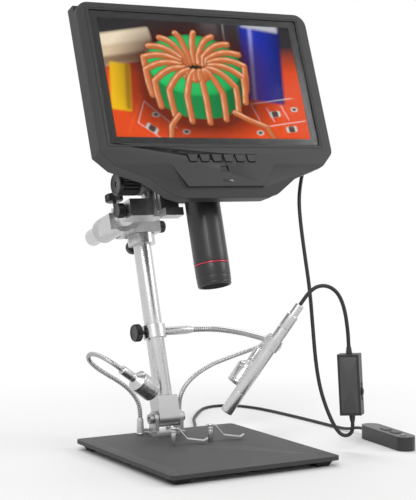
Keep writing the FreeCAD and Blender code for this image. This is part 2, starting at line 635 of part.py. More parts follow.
def make_slide():
    """Rack slide with side tongues, and the bracket that joins it to the head."""
    base = box(
        "pinion_u - slide_half_width", "slide_front", "slide_bottom",
        "2 * slide_half_width", "slide_thickness", "slide_top - slide_bottom",
    )
    tongues = box(
        "pinion_u - slide_half_width - 2.1", "slide_front + 2.1", "slide_bottom",
        "2 * slide_half_width + 4.2", 1.8, "slide_top - slide_bottom",
    )
    pitch = math.pi * size("gear_module")
    count = 18
    teeth = []
    for number in range(count):
        tooth = document.addObject("Part::Wedge", "Tooth")
        tooth.Placement = Placement(Vector(), Rotation())
        bind(
            tooth, Xmin=0, Xmax="pinion_face - 2", X2min=0, X2max="pinion_face - 2",
            Ymin=0, Ymax="gear_module * 1.95",
            Zmin="-gear_module * 0.95", Zmax="gear_module * 0.95",
            Z2min="-gear_module * 0.3", Z2max="gear_module * 0.3",
        )
        step = f"({number} - {count} / 2 + 0.5) * pi * gear_module"
        moved(
            tooth, "pinion_u - pinion_face / 2 + 1",
            "pinion_v - pinion_teeth / 2 * gear_module - gear_module * 1.15", f"pinion_w + {step}",
        )
        teeth.append(tooth)
    print(f"rack: {count} teeth, pitch {pitch:.3f} mm")
    back = "(pinion_v - pinion_teeth / 2 * gear_module - gear_module * 1.15)"
    strip = box(
        "pinion_u - pinion_face / 2 + 1", "slide_front + slide_thickness - 1", "slide_bottom",
        "pinion_face - 2", f"{back} - slide_front - slide_thickness + 1.1", "slide_top - slide_bottom",
    )
    slide = joined(base, tongues, strip, *teeth)

    plate = box(
        "pinion_u - slide_half_width - 1", "slide_front - 4", "slide_bottom + 6",
        "barrel_u + spine_half_width - 6 - pinion_u", 4, "slide_top - slide_bottom + 4",
    )
    toe = box(
        "pinion_u - slide_half_width - 1", "slide_front - 12", "slide_bottom - 8",
        "2 * slide_half_width + 4", 14, 8,
    )
    rise = box(
        "pinion_u - slide_half_width - 1", "slide_front - 4", "slide_bottom - 1",
        "2 * slide_half_width + 4", 4, 8,
    )
    node("head_slide", joined(slide, plate, rise, toe), "stand")


# Barrel with its accent ring, hood, glass, lamp ring and sensor
def make_barrel():
    joint = "barrel_tip + hood_length"
    inner = "barrel_radius - barrel_wall"

    def turned(low, high, outer, bore=None):
        solid = rod("barrel_u", "barrel_v", low, outer, f"{high} - ({low})")
        if bore is None:
            return solid
        return minus(solid, rod("barrel_u", "barrel_v", f"{low} - 1", bore, f"{high} - ({low}) + 2"))

    ring_top = f"{joint} + accent_height"
    node("lens_barrel", turned(ring_top, "barrel_top", "barrel_radius", inner), "stand")
    node("accent_ring", group(turned(joint, ring_top, "barrel_radius + 0.15", inner)), "stand")
    hood = cone("barrel_u", "barrel_v", "barrel_tip", "hood_tip_radius", "barrel_radius", "hood_length")
    bore = rod("barrel_u", "barrel_v", "barrel_tip + filter_depth", "filter_radius - 1", "hood_length")
    seat = rod("barrel_u", "barrel_v", "barrel_tip - 1", "filter_radius", "filter_depth + 1")
    node("lens_hood", minus(hood, bore, seat), "stand")
    cell = turned("barrel_tip + filter_depth + 2", ring_top + " + 12", "filter_radius - 5", "filter_radius - 6.5")
    glass = turned("barrel_tip + filter_depth + 3", "barrel_tip + filter_depth + 6", "filter_radius - 6.5")
    node("objective_lens", group(glass), "stand")
    board = turned("barrel_tip + filter_depth + 4", "barrel_tip + filter_depth + 5.6", "filter_radius - 1", "filter_radius - 5")
    holder = turned(ring_top + " + 12", ring_top + " + 14", inner, "filter_radius - 6.5")
    lens_cell = joined(cell, board, holder)
    sensor = turned("barrel_top - 14", "barrel_top - 12.4", inner)
    node("lens_cell", group(lens_cell, sensor), "stand")


# Head: front frame, keys, panel, glass, rear shell and main board
def head_outline(body, inset, offset, tall=0):
    """The head's outline on a plane square to n, drawn in by an inset."""
    sketch = new_sketch(body, "XZ_Plane", f"-({offset})")
    half = f"(head_half_width - {inset})"
    side = [
        (half, f"head_top - {inset}"), (half, "head_side_low"), ("head_half_width - 14 - " + str(inset), f"head_side_low - 14 + {inset}"),
        (f"head_half_width - 47 - {inset}", f"chin_low + 19.5 + {inset}"), (f"head_half_width - 70 - {inset}", f"chin_low + 3.5 + {inset}"),
        (f"head_half_width - 82 - {inset}", f"chin_low + {inset}"),
    ]
    left = [(f"-({x})", y) for x, y in reversed(side)]
    return polygon(sketch, side + left)


def upright(a, b):
    """An edge that runs into the head."""
    return abs(a.y - b.y) > 1 and abs(a.x - b.x) < 0.1 and abs(a.z - b.z) < 0.1


def chin_facets():
    """Wedges that bevel the chin beside and below its flat middle."""
    wedges = []
    for level, slope in (("facet_top", "facet_slope"), ("facet_bottom", "lip_slope")):
        wedge = new_body("Wedge")
        profile = new_sketch(wedge, "YZ_Plane", "-head_half_width")
        drop = f"({level} - chin_low + 1)"
        polygon(profile, [
            ("-1", level), ("0", level), (f"{slope} * {drop}", "chin_low - 1"), ("-1", "chin_low - 1"),
        ])
        wedge.Tip = pad(wedge, profile, "2 * head_half_width")
        wedges.append(wedge)
    middle = new_body("Middle")
    kept = new_sketch(middle, "XZ_Plane", "2")
    polygon(kept, [
        ("-facet_top_half", "facet_top + 0.01"), ("facet_top_half", "facet_top + 0.01"),
        ("facet_bottom_half", "facet_bottom"), ("-facet_bottom_half", "facet_bottom"),
    ])
    middle.Tip = pad(middle, kept, "bezel_thickness + 2", True)
    return minus(wedges[0], middle), wedges[1]


def make_head():
    front = new_body("Front")
    slab = pad(front, head_outline(front, 0, 0), "bezel_thickness", True)
    top = size("head_top")
    soft = rounded(front, slab, "head_corner", lambda a, b: upright(a, b) and abs(a.z - top) < 1)
    low = rounded(front, soft, "head_corner * 0.7", lambda a, b: upright(a, b) and a.z < size("head_side_low") + 1)
    hole = new_sketch(front, "XZ_Plane")
    wide, tall = "opening_width / 2", "opening_height / 2"
    polygon(hole, [(f"-{wide}", f"-{tall}"), (wide, f"-{tall}"), (wide, tall), (f"-{wide}", tall)])
    opened = pocket(front, hole)
    front.Tip = opened
    slots = new_sketch(front, "XZ_Plane")
    for number in range(6):
        at = f"(({number} - 2.5) * key_pitch)"
        wide, foot, tall = "(key_width / 2 + key_gap)", "(key_foot_width / 2 + key_gap)", "(key_height / 2 + key_gap)"
        polygon(slots, [
            (f"{at} - {foot}", f"key_w - {tall}"), (f"{at} + {foot}", f"key_w - {tall}"),
            (f"{at} + {wide}", f"key_w + {tall}"), (f"{at} - {wide}", f"key_w + {tall}"),
        ])
    front.Tip = pocket(front, slots)
    window = new_sketch(front, "XZ_Plane")
    polygon(window, [("-4", "key_w - 13.2"), ("4", "key_w - 13.2"), ("4", "key_w - 8.2"), ("-4", "key_w - 8.2")])
    front.Tip = pocket(front, window)
    node("front_frame", minus(front, *chin_facets()), "head")
    pane = box("-4 + 0.1", 0.4, "key_w - 13.1", 7.8, "bezel_thickness - 1", 4.8)
    node("receiver_window", group(pane), "head")

    for number in range(6):
        key = new_body("Key")
        face = new_sketch(key, "XZ_Plane", "key_proud")
        polygon(face, [
            ("-key_foot_width / 2", "-key_height / 2"), ("key_foot_width / 2", "-key_height / 2"),
            ("key_width / 2", "key_height / 2"), ("-key_width / 2", "key_height / 2"),
        ])
        key.Tip = pad(key, face, "key_depth + key_proud", True)
        node(f"key_{number + 1}", key, "head", (f"({number} - 2.5) * key_pitch", 0, "key_w"))
    board = box(
        "-2.9 * key_pitch", "bezel_thickness + 0.3", "key_w - 6", "5.8 * key_pitch", 1.6, 12,
    )
    switches = [
        box(f"({i} - 2.5) * key_pitch - 2", "key_depth + 1.2", "key_w - 2", 4, "bezel_thickness - key_depth - 0.9", 4)
        for i in range(6)
    ]
    key_board = joined(board, *switches)

    glass = box(
        "-opening_width / 2 + panel_gap", "glass_recess", "-opening_height / 2 + panel_gap",
        "opening_width - 2 * panel_gap", "glass_thickness", "opening_height - 2 * panel_gap",
    )
    node("screen_glass", group(glass), "head")
    panel = box(
        "-opening_width / 2 + panel_gap", "glass_recess + glass_thickness", "-opening_height / 2 + panel_gap",
        "opening_width - 2 * panel_gap", "panel_thickness", "opening_height - 2 * panel_gap",
    )
    node("screen_panel", group(panel), "head")
    make_rear(key_board)


def make_rear(key_board):
    """Rear shell with an electronics bulge and a spine that takes the barrel."""
    def block(name, inset, start, depth):
        body = new_body(name)
        return_pad = pad(body, head_outline(body, inset, start), depth, True)
        body.Tip = return_pad
        return body

    wall = "shell_wall"
    outer = block("Outer", 1.0, "bezel_thickness", "shell_depth - bezel_thickness")
    inner = block("Inner", 3.2, "bezel_thickness - 1", "shell_depth - bezel_thickness - shell_wall + 1")
    bulge = box(
        "-bulge_half_width", "shell_depth - 3", "bulge_bottom",
        "2 * bulge_half_width", "bulge_depth - shell_depth + 3", "bulge_top - bulge_bottom",
    )
    bulge_room = box(
        f"-bulge_half_width + {wall}", "shell_depth - 4", f"bulge_bottom + {wall}",
        f"2 * (bulge_half_width - {wall})", f"bulge_depth - shell_depth + 4 - {wall}",
        f"bulge_top - bulge_bottom - 2 * {wall}",
    )
    spine = box(
        "-spine_half_width", "shell_depth - 3", "spine_bottom",
        "2 * spine_half_width", "spine_depth - shell_depth + 3", "spine_top - spine_bottom",
    )
    spine_room = box(
        f"-spine_half_width + {wall}", "shell_depth - 4", f"spine_bottom + {wall}",
        f"2 * (spine_half_width - {wall})", f"spine_depth - shell_depth + 4 - {wall}",
        f"spine_top - spine_bottom - 2 * {wall}",
    )
    way = document.addObject("Part::Cylinder", "Way")
    way.Placement = Placement(Vector(), Rotation(Vector(1, 0, 0), 3))
    bind(way, Radius="barrel_radius + running_gap", Height="barrel_top + 4 - barrel_tip")
    bind(way, Placement__Rotation__Angle="head_tilt")
    across, up = "(barrel_v - head_v)", "(barrel_tip - head_w)"
    moved(
        way, "barrel_u - head_u",
        f"{across} * cos(head_tilt * 1deg) - {up} * sin(head_tilt * 1deg)",
        f"{across} * sin(head_tilt * 1deg) + {up} * cos(head_tilt * 1deg)",
    )
    port = box("bulge_half_width - shell_wall - 1", "bulge_depth - 11", "port_w - 5", "shell_wall + 2", 6, 10)
    shell = minus(joined(outer, bulge, spine), inner, bulge_room, spine_room, way, port)
    node("rear_shell", shell, "head")

    board = box("-60", "bulge_depth - shell_wall - 9", "bulge_bottom + 12", 130, 1.6, 80)
    legs = [
        rod(x, "bulge_depth - shell_wall - 7.4", f"bulge_bottom + {z}", 3, 7.4, "y")
        for x in ("-50", "60") for z in (20, 84)
    ]
    socket = box("bulge_half_width - shell_wall - 8.2", "bulge_depth - 11.5", "port_w - 5.5", 8, 7, 11)
    node("circuit_boards", group(key_board, joined(board, socket, *legs)), "head")


# Ring, arm tube and flexible neck that carry the pen camera
VIEW = Vector(-0.499, -0.867, 0)
PEN_AXIS = Vector(0.491, -0.280, 0.825)


def make_accessory():
    middle = "ring_bottom + ring_height / 2"
    ring = rod(0, 0, "ring_bottom", "ring_radius", "ring_height")
    bore = rod(0, 0, "ring_bottom - 1", "pillar_radius + running_gap", "ring_height + 2")
    thread = rod("-ring_radius - 1", 0, middle, "2 + running_gap", "ring_radius", "x")
    thumb_screw(
        "ring_thumb_screw", ("-pillar_radius - 0.3", 0, middle), "x", "ring_radius - pillar_radius + 4", 9, 7.5, -1,
    )
    arm = minus(
        rod("ring_radius - 2", 0, middle, "arm_tube_radius", "arm_tube_length + 1.4", "x"),
        rod(0, 0, "ring_bottom - 1", "ring_radius", "ring_height + 2"),
    )
    nose = cone(
        "ring_radius + arm_tube_length - 0.6", 0, middle, "arm_tube_radius", "flex_radius + 0.4", "arm_cone_length", "x",
    )
    node("accessory_ring", group(minus(ring, bore, thread), joined(arm, nose)), "stand")

    start = stand_spot(
        size("ring_radius") + size("arm_tube_length") + size("arm_cone_length") - 0.6, 0,
        size("ring_bottom") + size("ring_height") / 2,
    )
    centre = start + Vector(27.0, -114.3, -3.8)
    route = [(0, 0, 0), (15, 0, 0), (28, -8, -0.6), (36, -22, -1.4), (39.5, -40, -2), (39, -60, -2.6), (38.5, -79, -3.2)]
    back = centre - VIEW * 3
    before = centre - VIEW * 17
    points = [start + Vector(*step) for step in route] + [before, back]
    neck = tube("accessory_gooseneck", [tuple(point) for point in points], size("flex_radius"))
    fixed = aimed(rod(0, 0, 0, "joint_radius", "joint_thickness / 2 - 0.05"), centre - VIEW * 3, VIEW)
    node("accessory_gooseneck", group(neck, fixed))
    gap = size("joint_thickness") / 2
    pen_middle = centre + VIEW * (size("pen_radius") + gap - 0.2)
    disc = aimed(rod(0, 0, 0, "joint_radius", "joint_thickness / 2"), centre + VIEW * 0.25, VIEW)
    sleeve = rod(0, 0, -6, "pen_radius + 1.5", 12)
    sleeve = aimed(sleeve, pen_middle, PEN_AXIS)
    way = rod(0, 0, 0, "pen_radius + running_gap", 40)
    way = aimed(way, pen_middle - PEN_AXIS * 20, PEN_AXIS)
    node("pen_clip", minus(joined(disc, sleeve), way))

    tip = pen_middle - PEN_AXIS * 81.3
    body = rod(0, 0, 0, "pen_radius", "pen_length")
    hollow = rod(0, 0, 3, "pen_radius - 1.2", "pen_length - 6")
    mouth = rod(0, 0, -1, "pen_radius - 2", 6)
    neck = rod(0, 0, "pen_length", "pen_neck_radius", "pen_neck_length")
    wire_way = rod(0, 0, "pen_length - 5", 1, "pen_neck_length + 6")
    node("pen_camera_tube", aimed(minus(joined(body, neck), hollow, mouth, wire_way), tip, PEN_AXIS))
    window = rod(0, 0, 0.6, "pen_radius - 2", 1.2)
    camera = rod(0, 0, 4, "pen_radius - 1.2", 30)
    node("pen_camera_optics", aimed(group(window, camera), tip, PEN_AXIS))
    tail = tip + PEN_AXIS * (size("pen_length") + size("pen_neck_length"))
    return tail


# One lamp: housing, bezel, lens and light board, with its flexible neck
def make_lamp(label, front, aim, steps):
    x, y = f"{label}_socket_x", f"{label}_socket_y"
    root = Vector(size(x), size(y), size("foot_height") + size("plate_thickness"))
    root.z += size("socket_height")
    front = root + Vector(*front)
    aim = Vector(*aim).normalize()
    body = rod(0, 0, "-lamp_length", "lamp_radius", "lamp_length")
    shoulder = cone(0, 0, "-lamp_length - lamp_cone", "lamp_tail_radius", "lamp_radius", "lamp_cone")
    tail = rod(0, 0, "-lamp_length - lamp_cone - lamp_tail", "lamp_tail_radius", "lamp_tail")
    room = rod(0, 0, -15, "lamp_radius - lamp_wall", 16)
    wire_way = rod(0, 0, "-lamp_length - lamp_cone - lamp_tail + 3", 1, "lamp_length + lamp_cone + lamp_tail")
    lens = aimed(rod(0, 0, -3.4, "lamp_radius - lamp_wall", 2), front, aim)
    board = rod(0, 0, -15, "lamp_radius - lamp_wall", 1.6)
    light = joined(board, rod(0, 0, -13.4, 2.5, 2))
    housing = aimed(group(minus(joined(body, shoulder, tail), room, wire_way), light), front, aim)
    end = front - aim * (size("lamp_length") + size("lamp_cone") + size("lamp_tail"))
    points = [root] + [root + Vector(*step) for step in steps] + [end - aim * 11, end]
    neck = tube(f"{label}_gooseneck", [tuple(point) for point in points], size("neck_radius"))
    sleeve = cone(x, y, PLATE_TOP, "socket_radius", "socket_top_radius", "socket_height")
    stud = rod(x, y, f"{PLATE_TOP} - plate_thickness", "screw_radius", "plate_thickness + 1")
    return housing, lens, neck, joined(sleeve, stud)


def make_lamps():
    left = make_lamp("left", (1.0, -24.0, 30.5), (0.819, 0.132, -0.557), [
        (0, 0, 10), (-3.5, 1.5, 20), (-10.5, 4, 29.5), (-20, 7, 37.5), (-32.5, 10.5, 45.5),
        (-44, 13.5, 53.5), (-52, 13, 62), (-54.5, 4, 68), (-54, -9, 69.5), (-51, -22, 67),
    ])
    right = make_lamp("right", (70.4, 2.3, 25.1), (-0.6, 0.06, -0.8), [
        (0, 0, 10), (1.5, -1, 20), (8.5, -0.5, 30.5), (22.7, 1.5, 40), (41.7, 4.5, 47.5), (56.7, 6.5, 51),
        (72.7, 9, 54.5), (90.7, 11.5, 58), (106.7, 13.5, 61.5), (116.7, 11.5, 68), (115.2, 5, 75.5),
    ])
    names = ("lamp_housings", "lamp_lenses", "lamp_goosenecks", "lamp_sockets")
    for name, first, second in zip(names, left, right):
        node(name, group(first, second))


# Cords, dimmer with its wheel, plug, gland
def make_cords(tail):
    pose = Placement(Vector(138.2, -47.8, 69.0) - Vector(95, -22.9, 147) + tail, Rotation(-47.9, -3.3, 0))
    high, wide, deep = size("dimmer_height"), size("dimmer_width"), size("dimmer_depth")

    def placed(thing):
        thing.Placement = pose
        return thing

    wheel_x, wheel_z = "(dimmer_width / 2 - wheel_radius + 2.2)", "(-dimmer_height * 0.12)"
    shells = {}
    for label, low, room_low in (("front", "-dimmer_depth / 2", "-dimmer_depth / 2 + 1.6"), ("rear", 0, -1)):
        shell = box("-dimmer_width / 2", low, "-dimmer_height / 2", "dimmer_width", "dimmer_depth / 2", "dimmer_height")
        room = box(
            "-dimmer_width / 2 + 1.6", room_low, "-dimmer_height / 2 + 1.6",
            "dimmer_width - 3.2", "dimmer_depth / 2 - 0.6", "dimmer_height - 3.2",
        )
        slot = box(
            "dimmer_width / 2 - 3", "-wheel_width / 2 - 0.3", f"{wheel_z} - wheel_radius - 0.5",
            6, "wheel_width + 0.6", "2 * wheel_radius + 1",
        )
        ends = rod(0, 0, "-dimmer_height / 2 - 1", 1.95, "dimmer_height + 2")
        shells[label] = minus(shell, room, slot, ends)
    wheel = rod(wheel_x, "-wheel_width / 2", wheel_z, "wheel_radius", "wheel_width", "y")
    bore = rod(wheel_x, "-wheel_width / 2 - 1", wheel_z, "1.5 + running_gap", "wheel_width + 2", "y")
    node("dimmer_wheel", placed(minus(wheel, bore)))
    pin = rod(wheel_x, "-dimmer_depth / 2 + 1.6", wheel_z, 1.5, "dimmer_depth - 3.2", "y")
    node("dimmer_front_shell", placed(joined(shells["front"], pin)))
    reliefs = []
    for low, foot, top in (("dimmer_height / 2", "relief_radius", 2.3), ("-dimmer_height / 2 - relief_length", 2.3, "relief_radius")):
        sleeve = cone(0, 0, low, foot, top, "relief_length")
        reliefs.append(sleeve)
    node("dimmer_rear_shell", placed(group(shells["rear"], *reliefs)))

    up = pose.Rotation.multVec(Vector(0, 0, 1))
    top = pose.multVec(Vector(0, 0, high / 2 + size("relief_length")))
    low = pose.multVec(Vector(0, 0, -high / 2 - size("relief_length")))
    first = [
        tail, tail + PEN_AXIS * 7, tail + Vector(7.4, -4.3, 12), tail + Vector(13.5, -7.8, 17.8),
        tail + Vector(20.6, -11.9, 19.2), tail + Vector(27.6, -16, 16.3), tail + Vector(33, -19.2, 9.6),
        tail + Vector(36.6, -21.4, -0.6), tail + Vector(38.8, -22.8, -12.5), tail + Vector(40.2, -23.6, -25), top + up * 9, top,
    ]
    node("pen_cord", tube("pen_cord", [tuple(point) for point in first], size("thin_cord_radius")))

    start = head_spot(size("bulge_half_width"), size("bulge_depth") - 8, size("port_w"))
    tip = rod("bulge_half_width - shell_wall", "bulge_depth - 8", "port_w", 2.2, "shell_wall + 0.4", "x")
    grip = rod("bulge_half_width + 0.3", "bulge_depth - 8", "port_w", 4.2, "plug_length", "x")
    taper = cone("bulge_half_width + 0.3 + plug_length", "bulge_depth - 8", "port_w", "relief_radius", 2.3, "relief_length", "x")
    node("power_plug", joined(tip, grip, taper), "head")
    end = start + Vector(size("plug_length") + size("relief_length") + 0.3, 0, 0)
    rise = [
        low, low - up * 8, low + Vector(-1, 3.5, -14), low + Vector(-7, 9, -14.5), low + Vector(-11.5, 15.5, -5),
        low + Vector(-14.5, 23.5, 10), low + Vector(-17.5, 31, 30), low + Vector(-18.5, 37.5, 56),
        low + Vector(-18.5, 43, 92), low + Vector(-18.8, 48, 128), low + Vector(-21, 54.5, 164),
        low + Vector(-22.8, 60.5, 200), low + Vector(-21, 65, 224), end + Vector(10, -18.5, -31),
        end + Vector(16, -9, -16), end + Vector(15, -1, -3), end + Vector(8, 0, 0), end,
    ]
    node("screen_cord", tube("screen_cord", [tuple(point) for point in rise], size("thin_cord_radius")))


# Hand control that lies on the floor, with its cord to the base
REMOTE_KEYS = (-4, 14)


def make_remote():
    pose = Placement(Vector(194.5, -34.0, 0.2), Rotation(Vector(0, 0, 1), -96.5))
    half = "(remote_length / 2 - remote_width / 2)"

    def pill(low, height, inset):
        middle = box(f"-{half}", f"{inset} - remote_width / 2", low, f"2 * {half}", f"remote_width - 2 * {inset}", height)
        return joined(
            middle, rod(f"-{half}", 0, low, f"remote_width / 2 - {inset}", height),
            rod(half, 0, low, f"remote_width / 2 - {inset}", height),
        )

    entry = rod("-remote_length / 2 - 1", 0, "remote_height / 2", 2.1, 6, "x")
    lower = minus(pill(0, "remote_height / 2", 0), pill(1.6, "remote_height", 1.6), entry)
    entry = rod("-remote_length / 2 - 1", 0, "remote_height / 2", 2.1, 6, "x")
    wells = [
        box(f"{x} - 6.3", "-4.3", "remote_height - 4", 12.6, 8.6, 6) for x in REMOTE_KEYS
    ]
    upper = minus(
        pill("remote_height / 2", "remote_height / 2", 0),
        pill("remote_height / 2 - 1", "remote_height / 2 - 0.6", 1.6), entry, *wells,
    )
    board = box(f"-{half}", "-6", "remote_height / 2 - 1", f"2 * {half}", 12, 1.4)
    switches = [box(f"{x} - 2", "-2", "remote_height / 2 + 0.4", 4, 4, 2.4) for x in REMOTE_KEYS]
    posts = [rod(f"{x} * {half}", 0, 1.6, 2, "remote_height / 2 - 2.6") for x in (-0.8, 0.8)]
    relief = cone("-remote_length / 2 - relief_length", 0, "remote_height / 2", 2.2, 3.2, "relief_length", "x")
    pieces = {
        "remote_lower_shell": group(lower, relief, joined(board, *switches, *posts)),
        "remote_upper_shell": upper,
    }
    for number, x in enumerate(REMOTE_KEYS, start=1):
        cap = box(f"{x} - 6", "-4", "remote_height - 3.6", 12, 8, 4.4)
        pieces[f"remote_key_{number}"] = group(cap)
    for name, piece in pieces.items():
        piece.Placement = pose
        node(name, piece)

    start = pose.multVec(Vector(-size("remote_length") / 2 - size("relief_length"), 0, size("remote_height") / 2))
    ahead = pose.Rotation.multVec(Vector(-1, 0, 0))
    lie = size("floor_cord_radius") + 0.2
    floor_points = [
        (start.x - 0.5, start.y + 26, lie + 0.9), (start.x - 1, start.y + 45, lie), (start.x - 1.5, start.y + 80, lie),
        (start.x - 3.5, start.y + 125, lie), (start.x - 6.5, start.y + 165, lie), (start.x - 11, start.y + 195, lie),
        (start.x - 22, start.y + 220, lie), (start.x - 42, start.y + 231, lie), (start.x - 62, start.y + 225, lie),
        (start.x - 80, start.y + 207, lie),
    ]
    gate = Vector(58.0, size("plate_depth") / 2 + 9, 3.0)
    points = [start, start + ahead * 10] + [Vector(*p) for p in floor_points] + [
        gate + Vector(33, 75, lie - 3), gate + Vector(20, 48, lie - 3), gate + Vector(8, 26, lie - 3), gate + Vector(0, 11, 0), gate,
    ]
    node("floor_cord", tube("floor_cord", [tuple(point) for point in points], size("floor_cord_radius")))
    barrel = rod(gate.x, "plate_depth / 2 - 8", 3.0, 2.6, 17, "y")
    saddle = box(f"{gate.x} - 4", "plate_depth / 2 - 8", 3.0, 8, 8, "foot_height - 3")
    node("cord_gland", joined(barrel, saddle))


def finish():
    """Check every object and write each piece to its own file."""
    document.recompute()
    for thing in document.Objects:
        if any(state in ("Invalid", "Error") for state in thing.State):
            raise RuntimeError(f"{thing.Label} did not build: {thing.State}")
    os.makedirs("parts", exist_ok=True)
    for name, thing in NODES.items():
        shape = thing.Shape
        if shape.isNull() or not shape.isValid():
            raise RuntimeError(f"{name} has no sound shape")
        shape.exportStep(f"parts/{name}.step")
        bounds = shape.BoundBox
        print(
            f"{name}: {len(shape.Solids)} solid(s), {shape.Volume:.0f} mm3, "
            f"x {bounds.XMin:.1f}..{bounds.XMax:.1f} y {bounds.YMin:.1f}..{bounds.YMax:.1f} "
            f"z {bounds.ZMin:.1f}..{bounds.ZMax:.1f}"
        )
    print(len(NODES), "pieces")


make_bracket(make_base())
make_stand()
make_swivel()
make_focus()
make_barrel()
make_head()
pen_tail = make_accessory()
make_lamps()
make_cords(pen_tail)
make_remote()
finish()
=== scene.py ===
import logging
import math
from dataclasses import dataclass, field
from enum import Enum
from typing import Callable, Sequence

import bmesh
import bpy
import numpy as np
from mathutils import Matrix, Vector


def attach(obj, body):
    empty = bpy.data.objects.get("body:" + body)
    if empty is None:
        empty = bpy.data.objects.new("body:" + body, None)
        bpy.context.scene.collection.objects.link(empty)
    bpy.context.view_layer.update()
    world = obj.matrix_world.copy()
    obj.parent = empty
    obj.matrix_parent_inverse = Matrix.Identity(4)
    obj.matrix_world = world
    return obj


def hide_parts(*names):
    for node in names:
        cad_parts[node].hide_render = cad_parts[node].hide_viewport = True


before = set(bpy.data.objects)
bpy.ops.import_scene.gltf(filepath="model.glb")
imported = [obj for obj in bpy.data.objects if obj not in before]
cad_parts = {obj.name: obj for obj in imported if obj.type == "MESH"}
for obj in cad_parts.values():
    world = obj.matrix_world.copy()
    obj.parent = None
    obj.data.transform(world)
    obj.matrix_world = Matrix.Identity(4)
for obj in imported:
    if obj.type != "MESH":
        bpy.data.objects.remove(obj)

log = logging.getLogger("microscope")
MM = 0.001
Colour = tuple[float, float, float]
Point = tuple[float, float, float]
Flat = tuple[float, float]
Tree = bpy.types.NodeTree
Socket = bpy.types.NodeSocket
Node = bpy.types.Node
Mesh = bpy.types.Mesh
Piece = bpy.types.Object
Material = bpy.types.Material
Array = np.ndarray


class Axis(Enum):
    """A direction of a setting."""

    ACROSS = "across"
    ALONG = "along"


@dataclass(frozen=True)
class Finish:
    """One surface finish: its slot in the record and how its shader is set."""

    label: str
    slot: str
    colour: Colour
    roughness: float
    metallic: float = 0.0
    grain_scale: float = 1500.0
    grain_depth: float = 0.12
    tint: float = 0.06
    wear: float = 0.0
    wear_colour: Colour = (0.5, 0.5, 0.5)
    dust: float = 0.0
    coat: float = 0.0
    streak: Point = (1.0, 1.0, 1.0)
    transmission: float = 0.0
    glow: str = ""
    ior: float = 1.45


POWDER = Finish(
    "powder coat", "black_powder", (0.026, 0.026, 0.028), 0.5, grain_scale=1900, grain_depth=0.35,
    tint=0.12, wear=0.5, wear_colour=(0.16, 0.16, 0.165), dust=0.35,
)
RUBBER = Finish(
    "foot rubber", "rubber", (0.012, 0.012, 0.012), 0.75, grain_scale=1200, grain_depth=0.2, tint=0.15,
    wear_colour=(0.1, 0.1, 0.1), dust=0.4,
)
CAST = Finish(
    "cast aluminium", "cast_silver", (0.5, 0.5, 0.505), 0.36, metallic=1.0, grain_scale=1300,
    grain_depth=0.2, tint=0.05, wear=0.5, wear_colour=(0.93, 0.93, 0.93),
)
STEEL = Finish(
    "satin steel", "steel", (0.44, 0.44, 0.45), 0.3, metallic=1.0, grain_scale=900, grain_depth=0.1,
    tint=0.05, wear=0.3, wear_colour=(0.85, 0.85, 0.85), streak=(1.0, 1.0, 0.05),
)
TUBE = Finish(
    "anodised tube", "bright_metal", (0.58, 0.58, 0.585), 0.26, metallic=1.0, grain_scale=1100,
    grain_depth=0.08, tint=0.03, wear=0.25, wear_colour=(0.95, 0.95, 0.95), streak=(1.0, 0.12, 0.05),
)
NECK = Finish(
    "ribbed neck", "bright_metal", (0.42, 0.42, 0.425), 0.24, metallic=1.0, grain_scale=700,
    grain_depth=0.05,
)
LAMP = Finish(
    "lamp housing", "bright_metal", (0.56, 0.56, 0.565), 0.28, metallic=1.0, grain_scale=900,
    grain_depth=0.08, tint=0.04, wear=0.3, wear_colour=(0.95, 0.95, 0.95), streak=(0.3, 1.0, 0.3),
)
KNOB = Finish(
    "knob plastic", "knob_plastic", (0.012, 0.012, 0.0125), 0.33, grain_depth=0.08, tint=0.1, wear=0.4,
    wear_colour=(0.05, 0.05, 0.05), dust=0.2,
)
HEAD = Finish(
    "head plastic", "head_plastic", (0.0195, 0.0195, 0.0205), 0.46, grain_scale=2400, grain_depth=0.14,
    wear=0.25, wear_colour=(0.06, 0.06, 0.062), dust=0.25,
)
KEYS = Finish(
    "key plastic", "head_plastic", (0.015, 0.015, 0.016), 0.38, grain_scale=2200, grain_depth=0.08,
    tint=0.08, wear=0.4, wear_colour=(0.07, 0.07, 0.07), dust=0.1,
)
# near-black finish of the printed screen border; on the vent slots it is painted shade for the openings
BEZEL_AND_VENT_SHADE = Finish(
    "screen border and vent shade", "black_plastic", (0.004, 0.004, 0.0045), 0.16, grain_scale=900, grain_depth=0.01,
    tint=0.05,
)
BLACK = Finish(
    "box plastic", "black_plastic", (0.019, 0.019, 0.02), 0.4, grain_scale=1800, tint=0.1, wear=0.4,
    wear_colour=(0.07, 0.07, 0.07), dust=0.2,
)
LABEL = Finish("bare label face", "black_plastic", (0.068, 0.068, 0.07), 0.42, grain_depth=0.06, tint=0.05)
CONTROL = Finish(
    "hand control plastic", "black_plastic", (0.026, 0.026, 0.028), 0.3, grain_depth=0.06, tint=0.1,
    wear=0.3, wear_colour=(0.1, 0.1, 0.1), dust=0.3,
)
BARREL = Finish(
    "barrel paint", "barrel_paint", (0.009, 0.009, 0.0095), 0.36, grain_scale=1600, grain_depth=0.08,
    tint=0.08, wear=0.4, wear_colour=(0.06, 0.06, 0.06), dust=0.1, coat=0.15,
)
ACCENT = Finish(
    "accent paint", "accent_red", (0.5, 0.02, 0.055), 0.22, metallic=0.3, grain_scale=900,
    grain_depth=0.02, tint=0.08, coat=0.4,
)
OPTIC = Finish(
    "coated glass", "lens_glass", (0.78, 0.86, 0.9), 0.03, grain_scale=300, grain_depth=0.0, tint=0.03,
    transmission=1.0,
)
LAMP_OPTIC = Finish(
    "lamp lens", "lens_glass", (0.5, 0.52, 0.42), 0.1, grain_scale=300, grain_depth=0.02, tint=0.05,
    transmission=0.7,
)
PANE = Finish(
    "screen pane", "screen_glass", (1.0, 1.0, 1.0), 0.02, grain_scale=300, grain_depth=0.0, tint=0.0,
    transmission=1.0, ior=1.1,
)
